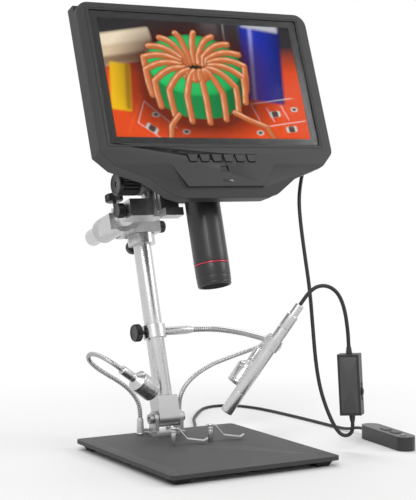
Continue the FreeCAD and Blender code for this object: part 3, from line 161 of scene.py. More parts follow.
# smoked window finish of the receiver and control windows; on the card slot it is painted shade for the
# opening
WINDOW_AND_SLOT_SHADE = Finish(
    "smoked window", "smoked_window", (0.006, 0.002, 0.003), 0.12, grain_scale=500, grain_depth=0.0,
    tint=0.05, coat=0.5,
)
PICTURE = Finish("lit picture", "screen_panel", (0.004, 0.004, 0.004), 0.4, glow="picture")
BOARD = Finish(
    "circuit board", "circuit_board", (0.02, 0.16, 0.06), 0.35, grain_scale=400, grain_depth=0.1,
    tint=0.25,
)
CORD = Finish(
    "cord jacket", "cord", (0.013, 0.013, 0.014), 0.45, grain_depth=0.08, tint=0.1,
    wear_colour=(0.1, 0.1, 0.1), dust=0.2,
)
PEARL = Finish(
    "light board", "bright_metal", (0.75, 0.74, 0.6), 0.4, grain_scale=700, grain_depth=0.05, tint=0.1,
)


class ShaderParts:
    """Node groups that more than one finish uses, each built once."""

    def __init__(self) -> None:
        colour, where, mask = ("Color", "Color"), ("Vector", "Vector"), ("Mask", "Float")
        amount = ("Amount", "Float")
        self.grain = self._group(
            "surface grain", (where, ("Scale", "Float"), ("Depth", "Float")),
            (mask, ("Height", "Float")), self._grain,
        )
        self.tint = self._group("tone drift", (colour, where, amount), (colour,), self._tint)
        self.wear = self._group(
            "edge wear", (colour, ("Worn", "Color"), where, amount), (colour, mask), self._wear
        )
        self.dust = self._group("settled dust", (colour, where, amount), (colour, mask), self._dust)

    def _group(self, name: str, inputs: Sequence[tuple[str, str]], outputs: Sequence[tuple[str, str]],
               fill: Callable[..., None]) -> Tree:
        """Make one node group.

        Args:
            name: its name.
            inputs: name and kind of each input socket.
            outputs: name and kind of each output socket.
            fill: the method that adds and links its nodes.

        Returns:
            The finished node tree.
        """
        tree = bpy.data.node_groups.new(name, "ShaderNodeTree")
        for label, kind in inputs:
            tree.interface.new_socket(name=label, in_out="INPUT", socket_type=f"NodeSocket{kind}")
        for label, kind in outputs:
            tree.interface.new_socket(name=label, in_out="OUTPUT", socket_type=f"NodeSocket{kind}")
        entry = tree.nodes.new("NodeGroupInput")
        leave = tree.nodes.new("NodeGroupOutput")
        fill(tree, entry, leave)
        return tree

    @staticmethod
    def _noise(tree: Tree, vector: Socket, scale: float, detail: float = 3.0) -> Node:
        """A noise texture read at a vector."""
        noise = tree.nodes.new("ShaderNodeTexNoise")
        noise.inputs["Scale"].default_value = scale
        noise.inputs["Detail"].default_value = detail
        tree.links.new(vector, noise.inputs["Vector"])
        return noise

    @staticmethod
    def _math(tree: Tree, kind: str, first: object, second: object) -> Node:
        """A math node of two sockets or numbers."""
        node = tree.nodes.new("ShaderNodeMath")
        node.operation = kind
        for slot, value in zip(node.inputs, (first, second)):
            if isinstance(value, (int, float)):
                slot.default_value = value
            else:
                tree.links.new(value, slot)
        return node

    def _grain(self, tree: Tree, entry: Node, leave: Node) -> None:
        """Fine noise plus a third of noise three times as fine; its height is the mask times the depth."""
        fine = tree.nodes.new("ShaderNodeTexNoise")
        tree.links.new(entry.outputs["Vector"], fine.inputs["Vector"])
        tree.links.new(entry.outputs["Scale"], fine.inputs["Scale"])
        fine.inputs["Detail"].default_value = 2.0
        finer = tree.nodes.new("ShaderNodeTexNoise")
        tree.links.new(entry.outputs["Vector"], finer.inputs["Vector"])
        scale = self._math(tree, "MULTIPLY", entry.outputs["Scale"], 3.1)
        tree.links.new(scale.outputs[0], finer.inputs["Scale"])
        share = self._math(tree, "MULTIPLY", finer.outputs["Fac"], 0.35)
        total = self._math(tree, "ADD", fine.outputs["Fac"], share.outputs[0])
        tree.links.new(total.outputs[0], leave.inputs["Mask"])
        height = self._math(tree, "MULTIPLY", total.outputs[0], entry.outputs["Depth"])
        tree.links.new(height.outputs[0], leave.inputs["Height"])

    def _tint(self, tree: Tree, entry: Node, leave: Node) -> None:
        """Value drifts by the amount with broad noise, as paint and castings vary."""
        noise = self._noise(tree, entry.outputs["Vector"], 38.0, 4.0)
        spread = self._math(tree, "SUBTRACT", noise.outputs["Fac"], 0.5)
        swing = self._math(tree, "MULTIPLY", spread.outputs[0], entry.outputs["Amount"])
        value = self._math(tree, "MULTIPLY_ADD", swing.outputs[0], 4.0)
        value.inputs[2].default_value = 1.0
        shift = tree.nodes.new("ShaderNodeHueSaturation")
        tree.links.new(entry.outputs["Color"], shift.inputs["Color"])
        tree.links.new(value.outputs[0], shift.inputs["Value"])
        tree.links.new(shift.outputs["Color"], leave.inputs["Color"])

    def _wear(self, tree: Tree, entry: Node, leave: Node) -> None:
        """Sharp outer edges, broken up by noise, turn towards the worn colour."""
        shape = tree.nodes.new("ShaderNodeNewGeometry")
        ramp = tree.nodes.new("ShaderNodeMapRange")
        ramp.inputs["From Min"].default_value = 0.52
        ramp.inputs["From Max"].default_value = 0.62
        tree.links.new(shape.outputs["Pointiness"], ramp.inputs["Value"])
        noise = self._noise(tree, entry.outputs["Vector"], 240.0)
        broken = self._math(tree, "MULTIPLY", ramp.outputs["Result"], noise.outputs["Fac"])
        mask = self._math(tree, "MULTIPLY", broken.outputs[0], entry.outputs["Amount"])
        mask.use_clamp = True
        mix = self._mix(tree, mask.outputs[0], entry.outputs["Color"], entry.outputs["Worn"])
        tree.links.new(mix, leave.inputs["Color"])
        tree.links.new(mask.outputs[0], leave.inputs["Mask"])

    def _dust(self, tree: Tree, entry: Node, leave: Node) -> None:
        """Faces that look up, broken up by broad and fine noise, turn slightly grey."""
        shape = tree.nodes.new("ShaderNodeNewGeometry")
        parts = tree.nodes.new("ShaderNodeSeparateXYZ")
        tree.links.new(shape.outputs["Normal"], parts.inputs[0])
        ramp = tree.nodes.new("ShaderNodeMapRange")
        ramp.inputs["From Min"].default_value = 0.55
        ramp.inputs["From Max"].default_value = 1.0
        tree.links.new(parts.outputs["Z"], ramp.inputs["Value"])
        broad = self._noise(tree, entry.outputs["Vector"], 30.0, 6.0)
        part = self._math(tree, "MULTIPLY", ramp.outputs["Result"], broad.outputs["Fac"])
        mask = self._math(tree, "MULTIPLY", part.outputs[0], entry.outputs["Amount"])
        mask.use_clamp = True
        pale = tree.nodes.new("ShaderNodeRGB")
        pale.outputs[0].default_value = (0.16, 0.158, 0.152, 1)
        share = self._math(tree, "MULTIPLY", mask.outputs[0], 0.35)
        mix = self._mix(tree, share.outputs[0], entry.outputs["Color"], pale.outputs[0])
        tree.links.new(mix, leave.inputs["Color"])
        tree.links.new(mask.outputs[0], leave.inputs["Mask"])

    @staticmethod
    def _mix(tree: Tree, factor: object, first: object, second: object) -> Socket:
        """A colour mix and its result socket."""
        mix = tree.nodes.new("ShaderNodeMix")
        mix.data_type = "RGBA"
        tree.links.new(factor, mix.inputs[0])
        tree.links.new(first, mix.inputs[6])
        tree.links.new(second, mix.inputs[7])
        return mix.outputs[2]


class Paintshop:
    """Makes one material for each finish and hands it out."""

    def __init__(self) -> None:
        self.parts = ShaderParts()
        self.made: dict[str, Material] = {}

    def material(self, finish: Finish) -> Material:
        """The material of a finish, built at its first use.

        Args:
            finish: the finish asked for.

        Returns:
            Its material.
        """
        if finish.label not in self.made:
            self.made[finish.label] = self._build(finish)
        return self.made[finish.label]

    def _use(self, tree: Tree, group: Tree) -> Node:
        """Place a node group in a material."""
        node = tree.nodes.new("ShaderNodeGroup")
        node.node_tree = group
        return node

    def _build(self, finish: Finish) -> Material:
        """Colour drifts, wears at edges and gathers dust; roughness and relief follow the grain."""
        material = bpy.data.materials.new(finish.label.replace(" ", "_"))
        material.use_nodes = True
        tree = material.node_tree
        shader = tree.nodes["Principled BSDF"]
        shader.inputs["Metallic"].default_value = finish.metallic
        shader.inputs["Transmission Weight"].default_value = finish.transmission
        shader.inputs["Coat Weight"].default_value = finish.coat
        shader.inputs["Coat Roughness"].default_value = 0.12
        if finish.transmission:
            shader.inputs["IOR"].default_value = finish.ior
        colour = tree.nodes.new("ShaderNodeRGB")
        colour.outputs[0].default_value = (*finish.colour, 1)
        worn = tree.nodes.new("ShaderNodeRGB")
        worn.outputs[0].default_value = (*finish.wear_colour, 1)
        where = tree.nodes.new("ShaderNodeTexCoord")
        mapping = tree.nodes.new("ShaderNodeMapping")
        mapping.inputs["Scale"].default_value = finish.streak
        tree.links.new(where.outputs["Object"], mapping.inputs["Vector"])
        tint = self._use(tree, self.parts.tint)
        tint.inputs["Amount"].default_value = finish.tint
        tree.links.new(colour.outputs[0], tint.inputs["Color"])
        tree.links.new(where.outputs["Object"], tint.inputs["Vector"])
        last = tint.outputs["Color"]
        masks = []
        if finish.wear:
            wear = self._use(tree, self.parts.wear)
            wear.inputs["Amount"].default_value = finish.wear
            tree.links.new(last, wear.inputs["Color"])
            tree.links.new(worn.outputs[0], wear.inputs["Worn"])
            tree.links.new(where.outputs["Object"], wear.inputs["Vector"])
            last = wear.outputs["Color"]
        if finish.dust:
            dust = self._use(tree, self.parts.dust)
            dust.inputs["Amount"].default_value = finish.dust
            tree.links.new(last, dust.inputs["Color"])
            tree.links.new(where.outputs["Object"], dust.inputs["Vector"])
            last = dust.outputs["Color"]
            masks.append(dust.outputs["Mask"])
        grain = self._use(tree, self.parts.grain)
        grain.inputs["Scale"].default_value = finish.grain_scale
        grain.inputs["Depth"].default_value = 1.0
        tree.links.new(mapping.outputs["Vector"], grain.inputs["Vector"])
        rough = tree.nodes.new("ShaderNodeMapRange")
        rough.inputs["From Min"].default_value = 0.35
        rough.inputs["From Max"].default_value = 1.0
        rough.inputs["To Min"].default_value = max(0.02, finish.roughness - 0.05)
        rough.inputs["To Max"].default_value = finish.roughness + 0.07
        tree.links.new(grain.outputs["Mask"], rough.inputs["Value"])
        roughness = rough.outputs["Result"]
        for mask in masks:
            total = tree.nodes.new("ShaderNodeMath")
            total.operation = "MULTIPLY_ADD"
            tree.links.new(mask, total.inputs[0])
            total.inputs[1].default_value = 0.3
            tree.links.new(roughness, total.inputs[2])
            roughness = total.outputs[0]
        tree.links.new(roughness, shader.inputs["Roughness"])
        if finish.grain_depth:
            bump = tree.nodes.new("ShaderNodeBump")
            bump.inputs["Strength"].default_value = finish.grain_depth
            bump.inputs["Distance"].default_value = 0.0002
            tree.links.new(grain.outputs["Height"], bump.inputs["Height"])
            tree.links.new(bump.outputs["Normal"], shader.inputs["Normal"])
        if finish.glow:
            lit = tree.nodes.new("ShaderNodeAttribute")
            lit.attribute_name = finish.glow
            tree.links.new(lit.outputs["Color"], shader.inputs["Emission Color"])
            shader.inputs["Emission Strength"].default_value = 1.0
            shader.inputs["Specular IOR Level"].default_value = 0.0
        tree.links.new(last, shader.inputs["Base Color"])
        return material


PAINT = Paintshop()


@dataclass(frozen=True)
class Setting:
    """A local frame in millimetres: an origin and three unit directions in the row frame."""

    origin: Point
    across: Point = (1.0, 0.0, 0.0)
    along: Point = (0.0, 1.0, 0.0)
    up: Point = (0.0, 0.0, 1.0)

    def place(self, points: Array) -> Array:
        """Row-frame metres of local millimetres: origin plus each coordinate times its direction."""
        directions = np.array((self.across, self.along, self.up))
        return (np.asarray(self.origin) + np.asarray(points) @ directions) * MM

    def spot(self, u: float, v: float, w: float) -> Array:
        """Row-frame metres of one local point."""
        return self.place(np.array((u, v, w)))

    def shifted(self, u: float, v: float, w: float) -> "Setting":
        """The same directions about another local point."""
        return Setting(tuple(self.spot(u, v, w) / MM), self.across, self.along, self.up)

    @staticmethod
    def looking(origin: Sequence[float], direction: Sequence[float]) -> "Setting":
        """A frame whose third direction looks along a vector.

        Args:
            origin: its origin in millimetres.
            direction: where its own height runs.

        Returns:
            The frame.
        """
        up = np.array(direction, float) / np.linalg.norm(direction)
        other = np.eye(3)[int(np.argmin(np.abs(up)))]
        across = np.cross(other, up)
        across /= np.linalg.norm(across)
        return Setting(tuple(origin), tuple(across), tuple(np.cross(up, across)), tuple(up))

    def turned_to(self, axis: Axis) -> "Setting":
        """The frame whose height runs along one of this frame's other directions."""
        if axis is Axis.ACROSS:
            return Setting(self.origin, self.along, self.up, self.across)
        return Setting(self.origin, self.up, self.across, self.along)

    def facing_back(self, axis: Axis) -> "Setting":
        """The frame whose height runs against one of this frame's other directions."""
        if axis is Axis.ACROSS:
            return Setting(self.origin, self.along, self.up, tuple(-np.array(self.across)))
        return Setting(self.origin, self.across, self.up, tuple(-np.array(self.along)))


def leaning(origin: Point, degrees: float) -> Setting:
    """A frame leant back about X, as the stand and the head are."""
    s, c = math.sin(math.radians(degrees)), math.cos(math.radians(degrees))
    return Setting(origin, (1.0, 0.0, 0.0), (0.0, c, -s), (0.0, s, c))


STAND = leaning((4.4, 85.4, 25.5), 17.0)
HEAD_FACE = leaning(tuple(STAND.spot(13.3, -157.6, 306.8) / MM), 20.34)


SHARP = 35.0


def grid_mesh(
    name: str, points: Array, round_u: bool = False, round_v: bool = False, sharp: float = SHARP
) -> Mesh:
    """A surface of two parameters: point (i, j) joins (i+1, j), (i+1, j+1) and (i, j+1).

    Args:
        name: the mesh's name.
        points: metres, shaped rows by columns by three.
        round_u: whether the last row joins the first.
        round_v: whether the last column joins the first.
        sharp: edges that bend by more degrees stay sharp.

    Returns:
        The mesh, with its poles closed and its faces outwards.
    """
    rows, columns = points.shape[:2]
    index = np.arange(rows * columns).reshape(rows, columns)
    if round_u:
        index = np.vstack((index, index[:1]))
    if round_v:
        index = np.hstack((index, index[:, :1]))
    quads = np.stack((index[:-1, :-1], index[1:, :-1], index[1:, 1:], index[:-1, 1:]), axis=-1)
    mesh = bpy.data.meshes.new(name)
    mesh.from_pydata(points.reshape(-1, 3).tolist(), [], quads.reshape(-1, 4).tolist())
    return tidy_mesh(mesh, sharp)


def tidy_mesh(mesh: Mesh, sharp: float = SHARP, merge: float = 1e-6) -> Mesh:
    """Merge doubles, drop empty faces, face outwards and smooth what bends gently."""
    work = bmesh.new()
    work.from_mesh(mesh)
    bmesh.ops.remove_doubles(work, verts=work.verts, dist=merge)
    bmesh.ops.dissolve_degenerate(work, edges=work.edges, dist=merge)
    bmesh.ops.recalc_face_normals(work, faces=work.faces)
    work.to_mesh(mesh)
    work.free()
    mesh.shade_smooth()
    mesh.set_sharp_from_angle(angle=math.radians(sharp))
    return mesh


def eased(points: Sequence[Flat], ease: float = 0.4, closed: bool = False, steps: int = 3) -> Array:
    """Round each corner of an outline by a short curve that leaves it `ease` before and after.

    Args:
        points: corners in order.
        ease: how far the curve reaches, at most half of a side.
        closed: whether the last corner joins the first.
        steps: points on each curve.

    Returns:
        The rounded outline.
    """
    p = np.array(points, float)
    before = np.roll(p, 1, axis=0) - p
    after = np.roll(p, -1, axis=0) - p
    size_b = np.maximum(np.linalg.norm(before, axis=1, keepdims=True), 1e-9)
    size_a = np.maximum(np.linalg.norm(after, axis=1, keepdims=True), 1e-9)
    enter = p + before / size_b * np.minimum(ease, size_b * 0.45)
    leave = p + after / size_a * np.minimum(ease, size_a * 0.45)
    t = np.linspace(0, 1, steps)[None, :, None]
    curve = (1 - t) ** 2 * enter[:, None] + 2 * t * (1 - t) * p[:, None] + t ** 2 * leave[:, None]
    if not closed:
        curve[0] = p[0]
        curve[-1] = p[-1]
    return curve.reshape(-1, p.shape[1])


@dataclass(frozen=True)
class Flutes:
    """Grooves cut along a turned piece between two heights."""

    count: int
    depth: float
    low: float
    high: float
    power: float = 1.0


def turned(name: str, outline: Array, setting: Setting, segments: int = 64, closed: bool = False,
           flutes: Flutes | None = None, sharp: float = SHARP) -> Mesh:
    """A lathe shape: each outline point (radius, height) goes round the setting's own height.

    Where flutes are given, the radius falls by depth times a raised cosine of the angle.
    """
    angle = np.linspace(0, math.tau, segments, endpoint=False)[None, :]
    radius = np.repeat(outline[:, :1], segments, axis=1)
    height = np.repeat(outline[:, 1:], segments, axis=1)
    if flutes:
        wave = (0.5 + 0.5 * np.cos(flutes.count * angle)) ** flutes.power
        inside = (height > flutes.low) & (height < flutes.high)
        radius = radius - inside * flutes.depth * wave * (radius > flutes.depth * 2)
    points = np.stack((radius * np.cos(angle), radius * np.sin(angle), height), axis=-1)
    return grid_mesh(name, setting.place(points), closed, True, sharp)


def spline_path(controls: Array, order: int = 3, spacing: float = 0.4) -> Array:
    """Points read off the smooth NURBS line of the given control points, evenly spaced.

    Args:
        controls: control points in millimetres.
        order: order of the spline.
        spacing: distance between the points, in millimetres.

    Returns:
        Points in millimetres.
    """
    line = cord_curve("trial_line", controls * MM, 0.0, order)
    mesh = bpy.data.meshes.new_from_object(line)
    raw = np.array([v.co for v in mesh.vertices]) / MM
    bpy.data.objects.remove(line)
    bpy.data.meshes.remove(mesh)
    step = np.linalg.norm(np.diff(raw, axis=0), axis=1)
    run = np.concatenate(([0], np.cumsum(step)))
    even = np.linspace(0, run[-1], max(8, int(run[-1] / spacing)))
    return np.stack([np.interp(even, run, raw[:, k]) for k in range(3)], axis=1)


def cord_curve(name: str, controls: Array, radius: float, order: int = 3) -> Piece:
    """A curve object of one open NURBS spline through control points in metres."""
    curve = bpy.data.curves.new(name, "CURVE")
    curve.dimensions = "3D"
    curve.resolution_u = 14
    curve.bevel_depth = radius
    curve.bevel_resolution = 6
    curve.use_fill_caps = True
    spline = curve.splines.new("NURBS")
    spline.points.add(len(controls) - 1)
    for point, place in zip(spline.points, controls):
        point.co = (*place, 1)
    spline.order_u = order
    spline.use_endpoint_u = True
    piece = bpy.data.objects.new(name, curve)
    bpy.context.scene.collection.objects.link(piece)
    bpy.context.view_layer.update()
    return piece


def carried(name: str, path: Array, radius: Array, segments: int = 18, sharp: float = 60.0) -> Mesh:
    """A round section of varying radius carried along a path, closed at both ends.

    Each ring stands square to the path; its first direction is the last ring's, made square again.
    """
    heading = np.gradient(path, axis=0)
    heading /= np.linalg.norm(heading, axis=1, keepdims=True)
    side = np.cross(heading[0], np.eye(3)[int(np.argmin(np.abs(heading[0])))])
    sides = []
    for direction in heading:
        side = side - direction * (side @ direction)
        side = side / np.linalg.norm(side)
        sides.append(side)
    sides = np.array(sides)
    others = np.cross(heading, sides)
    angle = np.linspace(0, math.tau, segments, endpoint=False)
    ring = np.cos(angle)[None, :, None] * sides[:, None] + np.sin(angle)[None, :, None] * others[:, None]
    points = path[:, None] + radius[:, None, None] * ring
    ends = (np.repeat(path[:1, None], segments, axis=1), np.repeat(path[-1:, None], segments, axis=1))
    points = np.concatenate((ends[0], points, ends[1]), axis=0)
    return grid_mesh(name, points * MM, False, True, sharp)


ROLL_STEPS = ((1.0, 1.0), (0.62, 0.78), (0.22, 0.38), (0.0, 0.0))


def slab(
    name: str, outline: Array, setting: Setting, low: float, high: float, ease: float = 0.5
) -> Mesh:
    """An outline in the setting's first two directions, raised from low to high with rolled edges.

    The outline is drawn in towards its middle over the first and last `ease` of the height.
    """
    middle = outline.mean(axis=0)
    reach = np.linalg.norm(outline - middle, axis=1, keepdims=True)
    inward = (middle - outline) / np.maximum(reach, 1e-9)
    rings = [(ease * inner, low + ease * (1 - lower)) for inner, lower in ROLL_STEPS]
    top = [(drawn, high + low - rise) for drawn, rise in rings[::-1]]
    levels = [(None, low)] + rings + top + [(None, high)]
    grid = []
    for drawn, rise in levels:
        flat = np.repeat(middle[None], len(outline), axis=0) if drawn is None else outline + inward * drawn
        grid.append(np.column_stack((flat, np.full(len(outline), rise))))
    return grid_mesh(name, setting.place(np.array(grid)), False, True)


def dress(piece: Piece, finish: Finish, body: str, *nodes: str) -> Piece:
    """Give a piece its material, its body and the nodes that it stands for.

    Args:
        piece: the object.
        finish: its finish.
        body: the CAD body that it rides on.
        nodes: CAD nodes that it replaces.

    Returns:
        The same object.
    """
    if not piece.data.materials:
        piece.data.materials.append(PAINT.material(finish))
    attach(piece, body)
    if nodes:
        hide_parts(*nodes)
    log.info("%s rides on %s", piece.name, body)
    return piece


def add(mesh: Mesh, finish: Finish, body: str, *nodes: str) -> Piece:
    """Put a mesh in the scene as a dressed piece."""
    piece = bpy.data.objects.new(mesh.name, mesh)
    bpy.context.scene.collection.objects.link(piece)
    return dress(piece, finish, body, *nodes)


def merged(name: str, meshes: Sequence[Mesh]) -> Mesh:
    """Several meshes as one."""
    work = bmesh.new()
    for mesh in meshes:
        work.from_mesh(mesh)
    whole = bpy.data.meshes.new(name)
    work.to_mesh(whole)
    work.free()
    whole.shade_smooth()
    whole.set_sharp_from_angle(angle=math.radians(SHARP))
    for mesh in meshes:
        bpy.data.meshes.remove(mesh)
    return whole


def softened(name: str, node: str, finish: Finish, body: str, width: float = 0.5, segments: int = 3,
             angle: float = 28.0) -> Piece:
    """A node's form with its doubles merged, its flats made whole and its edges rolled.

    Args:
        name: the piece's name.
        node: the CAD node whose form it takes and which it replaces.
        finish: its finish.
        body: the body it rides on.
        width: how wide each edge is rolled, in millimetres.
        segments: faces across a rolled edge.
        angle: edges that bend by more degrees are rolled.

    Returns:
        The piece.
    """
    mesh = bpy.data.meshes.new(name)
    work = bmesh.new()
    work.from_mesh(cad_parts[node].data)
    bmesh.ops.remove_doubles(work, verts=work.verts, dist=2e-6)
    bmesh.ops.dissolve_limit(work, angle_limit=math.radians(1.0), verts=work.verts, edges=work.edges)
    work.to_mesh(mesh)
    work.free()
    mesh.shade_smooth()
    mesh.set_sharp_from_angle(angle=math.radians(angle))
    piece = add(mesh, finish, body, node)
    roll = piece.modifiers.new("rolled edges", "BEVEL")
    roll.width = width * MM
    roll.segments = segments
    roll.limit_method = "ANGLE"
    roll.angle_limit = math.radians(angle)
    roll.harden_normals = True
    roll.miter_outer = "MITER_ARC"
    return piece


def repaint(node: str, finish: Finish) -> None:
    """Give a CAD node that stays its finish."""
    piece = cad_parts[node]
    piece.data.materials.clear()
    piece.data.materials.append(PAINT.material(finish))
    log.info("%s keeps its form", node)


@dataclass
class Studio:
    """Camera, floor and lights."""

    stand_point: Point = (-0.678, -1.1849, 0.2771)
    yaw: float = 29.93
    dip: float = 3.22
    focal_pixels: float = 1429.5
    frame_height: float = 500.0
    sensor: float = 36.0
    floor_size: float = 5.0
    floor_clear: Flat = (0.2, 0.6)

    def camera(self) -> None:
        """A camera at the photograph's place: yaw to the right of +Y, dipped a little."""
        data = bpy.data.cameras.new("view")
        data.sensor_width = self.sensor
        data.lens = self.focal_pixels / self.frame_height * self.sensor
        data.clip_end = 30.0
        eye = bpy.data.objects.new("view", data)
        bpy.context.scene.collection.objects.link(eye)
        yaw, dip = math.radians(self.yaw), math.radians(self.dip)
        ahead = Vector((math.sin(yaw) * math.cos(dip), math.cos(yaw) * math.cos(dip), -math.sin(dip)))
        right = Vector((math.cos(yaw), -math.sin(yaw), 0))
        over = right.cross(ahead)
        turn = Matrix((right, over, -ahead)).transposed().to_4x4()
        eye.matrix_world = Matrix.Translation(self.stand_point) @ turn
        bpy.context.scene.camera = eye

    def floor(self) -> None:
        """A pale disc; away from the object it fades into the white of the background."""
        angle = np.linspace(0, math.tau, 96, endpoint=False)[None, :]
        radius = np.array((0.0, 0.3, 0.8, self.floor_size))[:, None]
        points = np.stack((radius * np.cos(angle), radius * np.sin(angle), radius * 0 + 0 * angle), axis=-1)
        mesh = grid_mesh("floor", points, False, True)
        piece = bpy.data.objects.new("floor", mesh)
        bpy.context.scene.collection.objects.link(piece)
        material = bpy.data.materials.new("pale_floor")
        material.use_nodes = True
        tree = material.node_tree
        shader = tree.nodes["Principled BSDF"]
        shader.inputs["Base Color"].default_value = (0.95, 0.95, 0.95, 1)
        shader.inputs["Roughness"].default_value = 0.85
        where = tree.nodes.new("ShaderNodeTexCoord")
        reach = tree.nodes.new("ShaderNodeVectorMath")
        reach.operation = "LENGTH"
        tree.links.new(where.outputs["Object"], reach.inputs[0])
        fade = tree.nodes.new("ShaderNodeMapRange")
        fade.interpolation_type = "SMOOTHSTEP"
        fade.inputs["From Min"].default_value = self.floor_clear[0]
        fade.inputs["From Max"].default_value = self.floor_clear[1]
        tree.links.new(reach.outputs["Value"], fade.inputs["Value"])
        seen = self._seen(tree)
        share = tree.nodes.new("ShaderNodeMath")
        share.operation = "MULTIPLY"
        tree.links.new(fade.outputs["Result"], share.inputs[0])
        tree.links.new(seen, share.inputs[1])
        glow = tree.nodes.new("ShaderNodeEmission")
        glow.inputs["Color"].default_value = (1, 1, 1, 1)
        mix = tree.nodes.new("ShaderNodeMixShader")
        tree.links.new(share.outputs[0], mix.inputs[0])
        tree.links.new(shader.outputs[0], mix.inputs[1])
        tree.links.new(glow.outputs[0], mix.inputs[2])
        tree.links.new(mix.outputs[0], tree.nodes["Material Output"].inputs["Surface"])
        mesh.materials.append(material)

    @staticmethod
    def _seen(tree: Tree) -> Socket:
        """One where a ray comes from the camera, a reflection or through glass."""
        path = tree.nodes.new("ShaderNodeLightPath")
        first = tree.nodes.new("ShaderNodeMath")
        first.operation = "MAXIMUM"
        tree.links.new(path.outputs["Is Camera Ray"], first.inputs[0])
        tree.links.new(path.outputs["Is Glossy Ray"], first.inputs[1])
        second = tree.nodes.new("ShaderNodeMath")
        second.operation = "MAXIMUM"
        tree.links.new(first.outputs[0], second.inputs[0])
        tree.links.new(path.outputs["Is Transmission Ray"], second.inputs[1])
        return second.outputs[0]

    def lights(self) -> None:
        """White surroundings that fill, one big soft lamp from the left front and two helpers."""
        world = bpy.data.worlds.new("studio")
        bpy.context.scene.world = world
        world.use_nodes = True
        tree = world.node_tree
        fill = tree.nodes["Background"]
        fill.inputs["Color"].default_value = (1, 1, 1, 1)
        fill.inputs["Strength"].default_value = 0.45
        shown = tree.nodes.new("ShaderNodeBackground")
        shown.inputs["Color"].default_value = (1, 1, 1, 1)
        shown.inputs["Strength"].default_value = 1.0
        mix = tree.nodes.new("ShaderNodeMixShader")
        tree.links.new(self._seen(tree), mix.inputs[0])
        tree.links.new(fill.outputs[0], mix.inputs[1])
        tree.links.new(shown.outputs[0], mix.inputs[2])
        tree.links.new(mix.outputs[0], tree.nodes["World Output"].inputs["Surface"])
        for name, place, size, power in (
            ("key", (-1.5, -1.7, 1.9), 1.1, 26.0),
            ("side", (1.8, -1.1, 1.3), 1.0, 12.0),
            ("over", (0.2, 0.9, 2.2), 1.4, 18.0),
        ):
            data = bpy.data.lights.new(name, "AREA")
            data.shape = "SQUARE"
            data.size = size
            data.energy = power
            lamp = bpy.data.objects.new(name, data)
            bpy.context.scene.collection.objects.link(lamp)
            lamp.location = place
            lamp.rotation_euler = (Vector((0, 0, 0.2)) - Vector(place)).to_track_quat("-Z", "Y").to_euler()
        bpy.context.scene.view_settings.view_transform = "Standard"


@dataclass
class Cords:
    """Cords: from the pen camera to the dimmer, on to the screen, and along the floor."""

    thin: float = 0.0038
    floor_thickness: float = 0.0032
    pen_line: tuple[Point, ...] = (
        (0.09429, -0.02374, 0.1451), (0.09773, -0.0257, 0.15087), (0.10169, -0.02804, 0.1571),
        (0.10779, -0.03154, 0.1629), (0.11489, -0.03564, 0.1643), (0.12189, -0.03974, 0.1614),
        (0.12729, -0.04294, 0.1547), (0.13089, -0.04514, 0.1445), (0.13309, -0.04654, 0.1326),
        (0.13449, -0.04734, 0.1201), (0.13571, -0.04668, 0.11302), (0.13606, -0.04706, 0.10404),
    )
    screen_line: tuple[Point, ...] = (
        (0.13892, -0.05022, 0.03016), (0.13923, -0.05057, 0.02217), (0.13792, -0.04672, 0.01616),
        (0.13192, -0.04122, 0.01566), (0.12742, -0.03472, 0.02516), (0.12442, -0.02672, 0.04016),
        (0.12142, -0.01922, 0.06016), (0.12042, -0.01272, 0.08616), (0.12042, -0.00722, 0.12216),
        (0.12012, -0.00222, 0.15816), (0.11792, 0.00428, 0.19416), (0.11612, 0.01028, 0.23016),
        (0.11792, 0.01478, 0.25416), (0.134, 0.02949, 0.28256), (0.14, 0.03899, 0.29756),
        (0.139, 0.04699, 0.31056), (0.132, 0.04799, 0.31356), (0.124, 0.04799, 0.31356),
    )
    floor_line: tuple[Point, ...] = (
        (0.20016, 0.01568, 0.0072), (0.20129, 0.02561, 0.0072), (0.19966, 0.04168, 0.0027),
        (0.19916, 0.06068, 0.0018), (0.19866, 0.09568, 0.0018), (0.19666, 0.14068, 0.0018),
        (0.19366, 0.18068, 0.0018), (0.18916, 0.21068, 0.0018), (0.17816, 0.23568, 0.0018),
        (0.15816, 0.24668, 0.0018), (0.13816, 0.24068, 0.0018), (0.12016, 0.22268, 0.0018),
        (0.091, 0.184, 0.0018), (0.078, 0.157, 0.0018), (0.066, 0.135, 0.0018),
        (0.058, 0.12, 0.003), (0.058, 0.109, 0.003),
    )
    pieces: dict[str, Piece] = field(default_factory=dict)

    def build(self) -> None:
        """Lay the three lines and dress them."""
        for name, line, width, body in (
            ("pen_cord", self.pen_line, self.thin, "accessory"),
            ("screen_cord", self.screen_line, self.thin, "accessory"),
            ("floor_cord", self.floor_line, self.floor_thickness, "base"),
        ):
            piece = cord_curve(f"{name}_line", np.array(line), width / 2)
            self.pieces[name] = dress(piece, CORD, body, name)


def knurled_screw(
    name: str, tip: Setting, reach: float, radius: float, length: float, body: str, node: str
) -> None:
    """A hand screw along a setting's height: thin stem, then a fluted head with a dished end.

    Args:
        name: the piece's name.
        tip: frame at the stem's tip, its height pointing to the head.
        reach: stem length.
        radius: head radius.
        length: head length.
        body: the body that it rides on.
        node: the node that it replaces.
    """
    outline = eased([
        (0, 0), (2, 0), (2, reach), (radius * 0.78, reach), (radius - 0.5, reach + 0.6),
        (radius, reach + 1.2), (radius, reach + length - 1.2), (radius - 0.6, reach + length),
        (radius * 0.8, reach + length), (radius * 0.76, reach + length - 0.5), (0, reach + length - 0.5),
    ], 0.4)
    count = int(radius * 4.2)
    mesh = turned(name, outline, tip, count * 6, False,
                  Flutes(count, 0.55, reach + 0.7, reach + length - 0.7))
    add(mesh, KNOB, body, node)


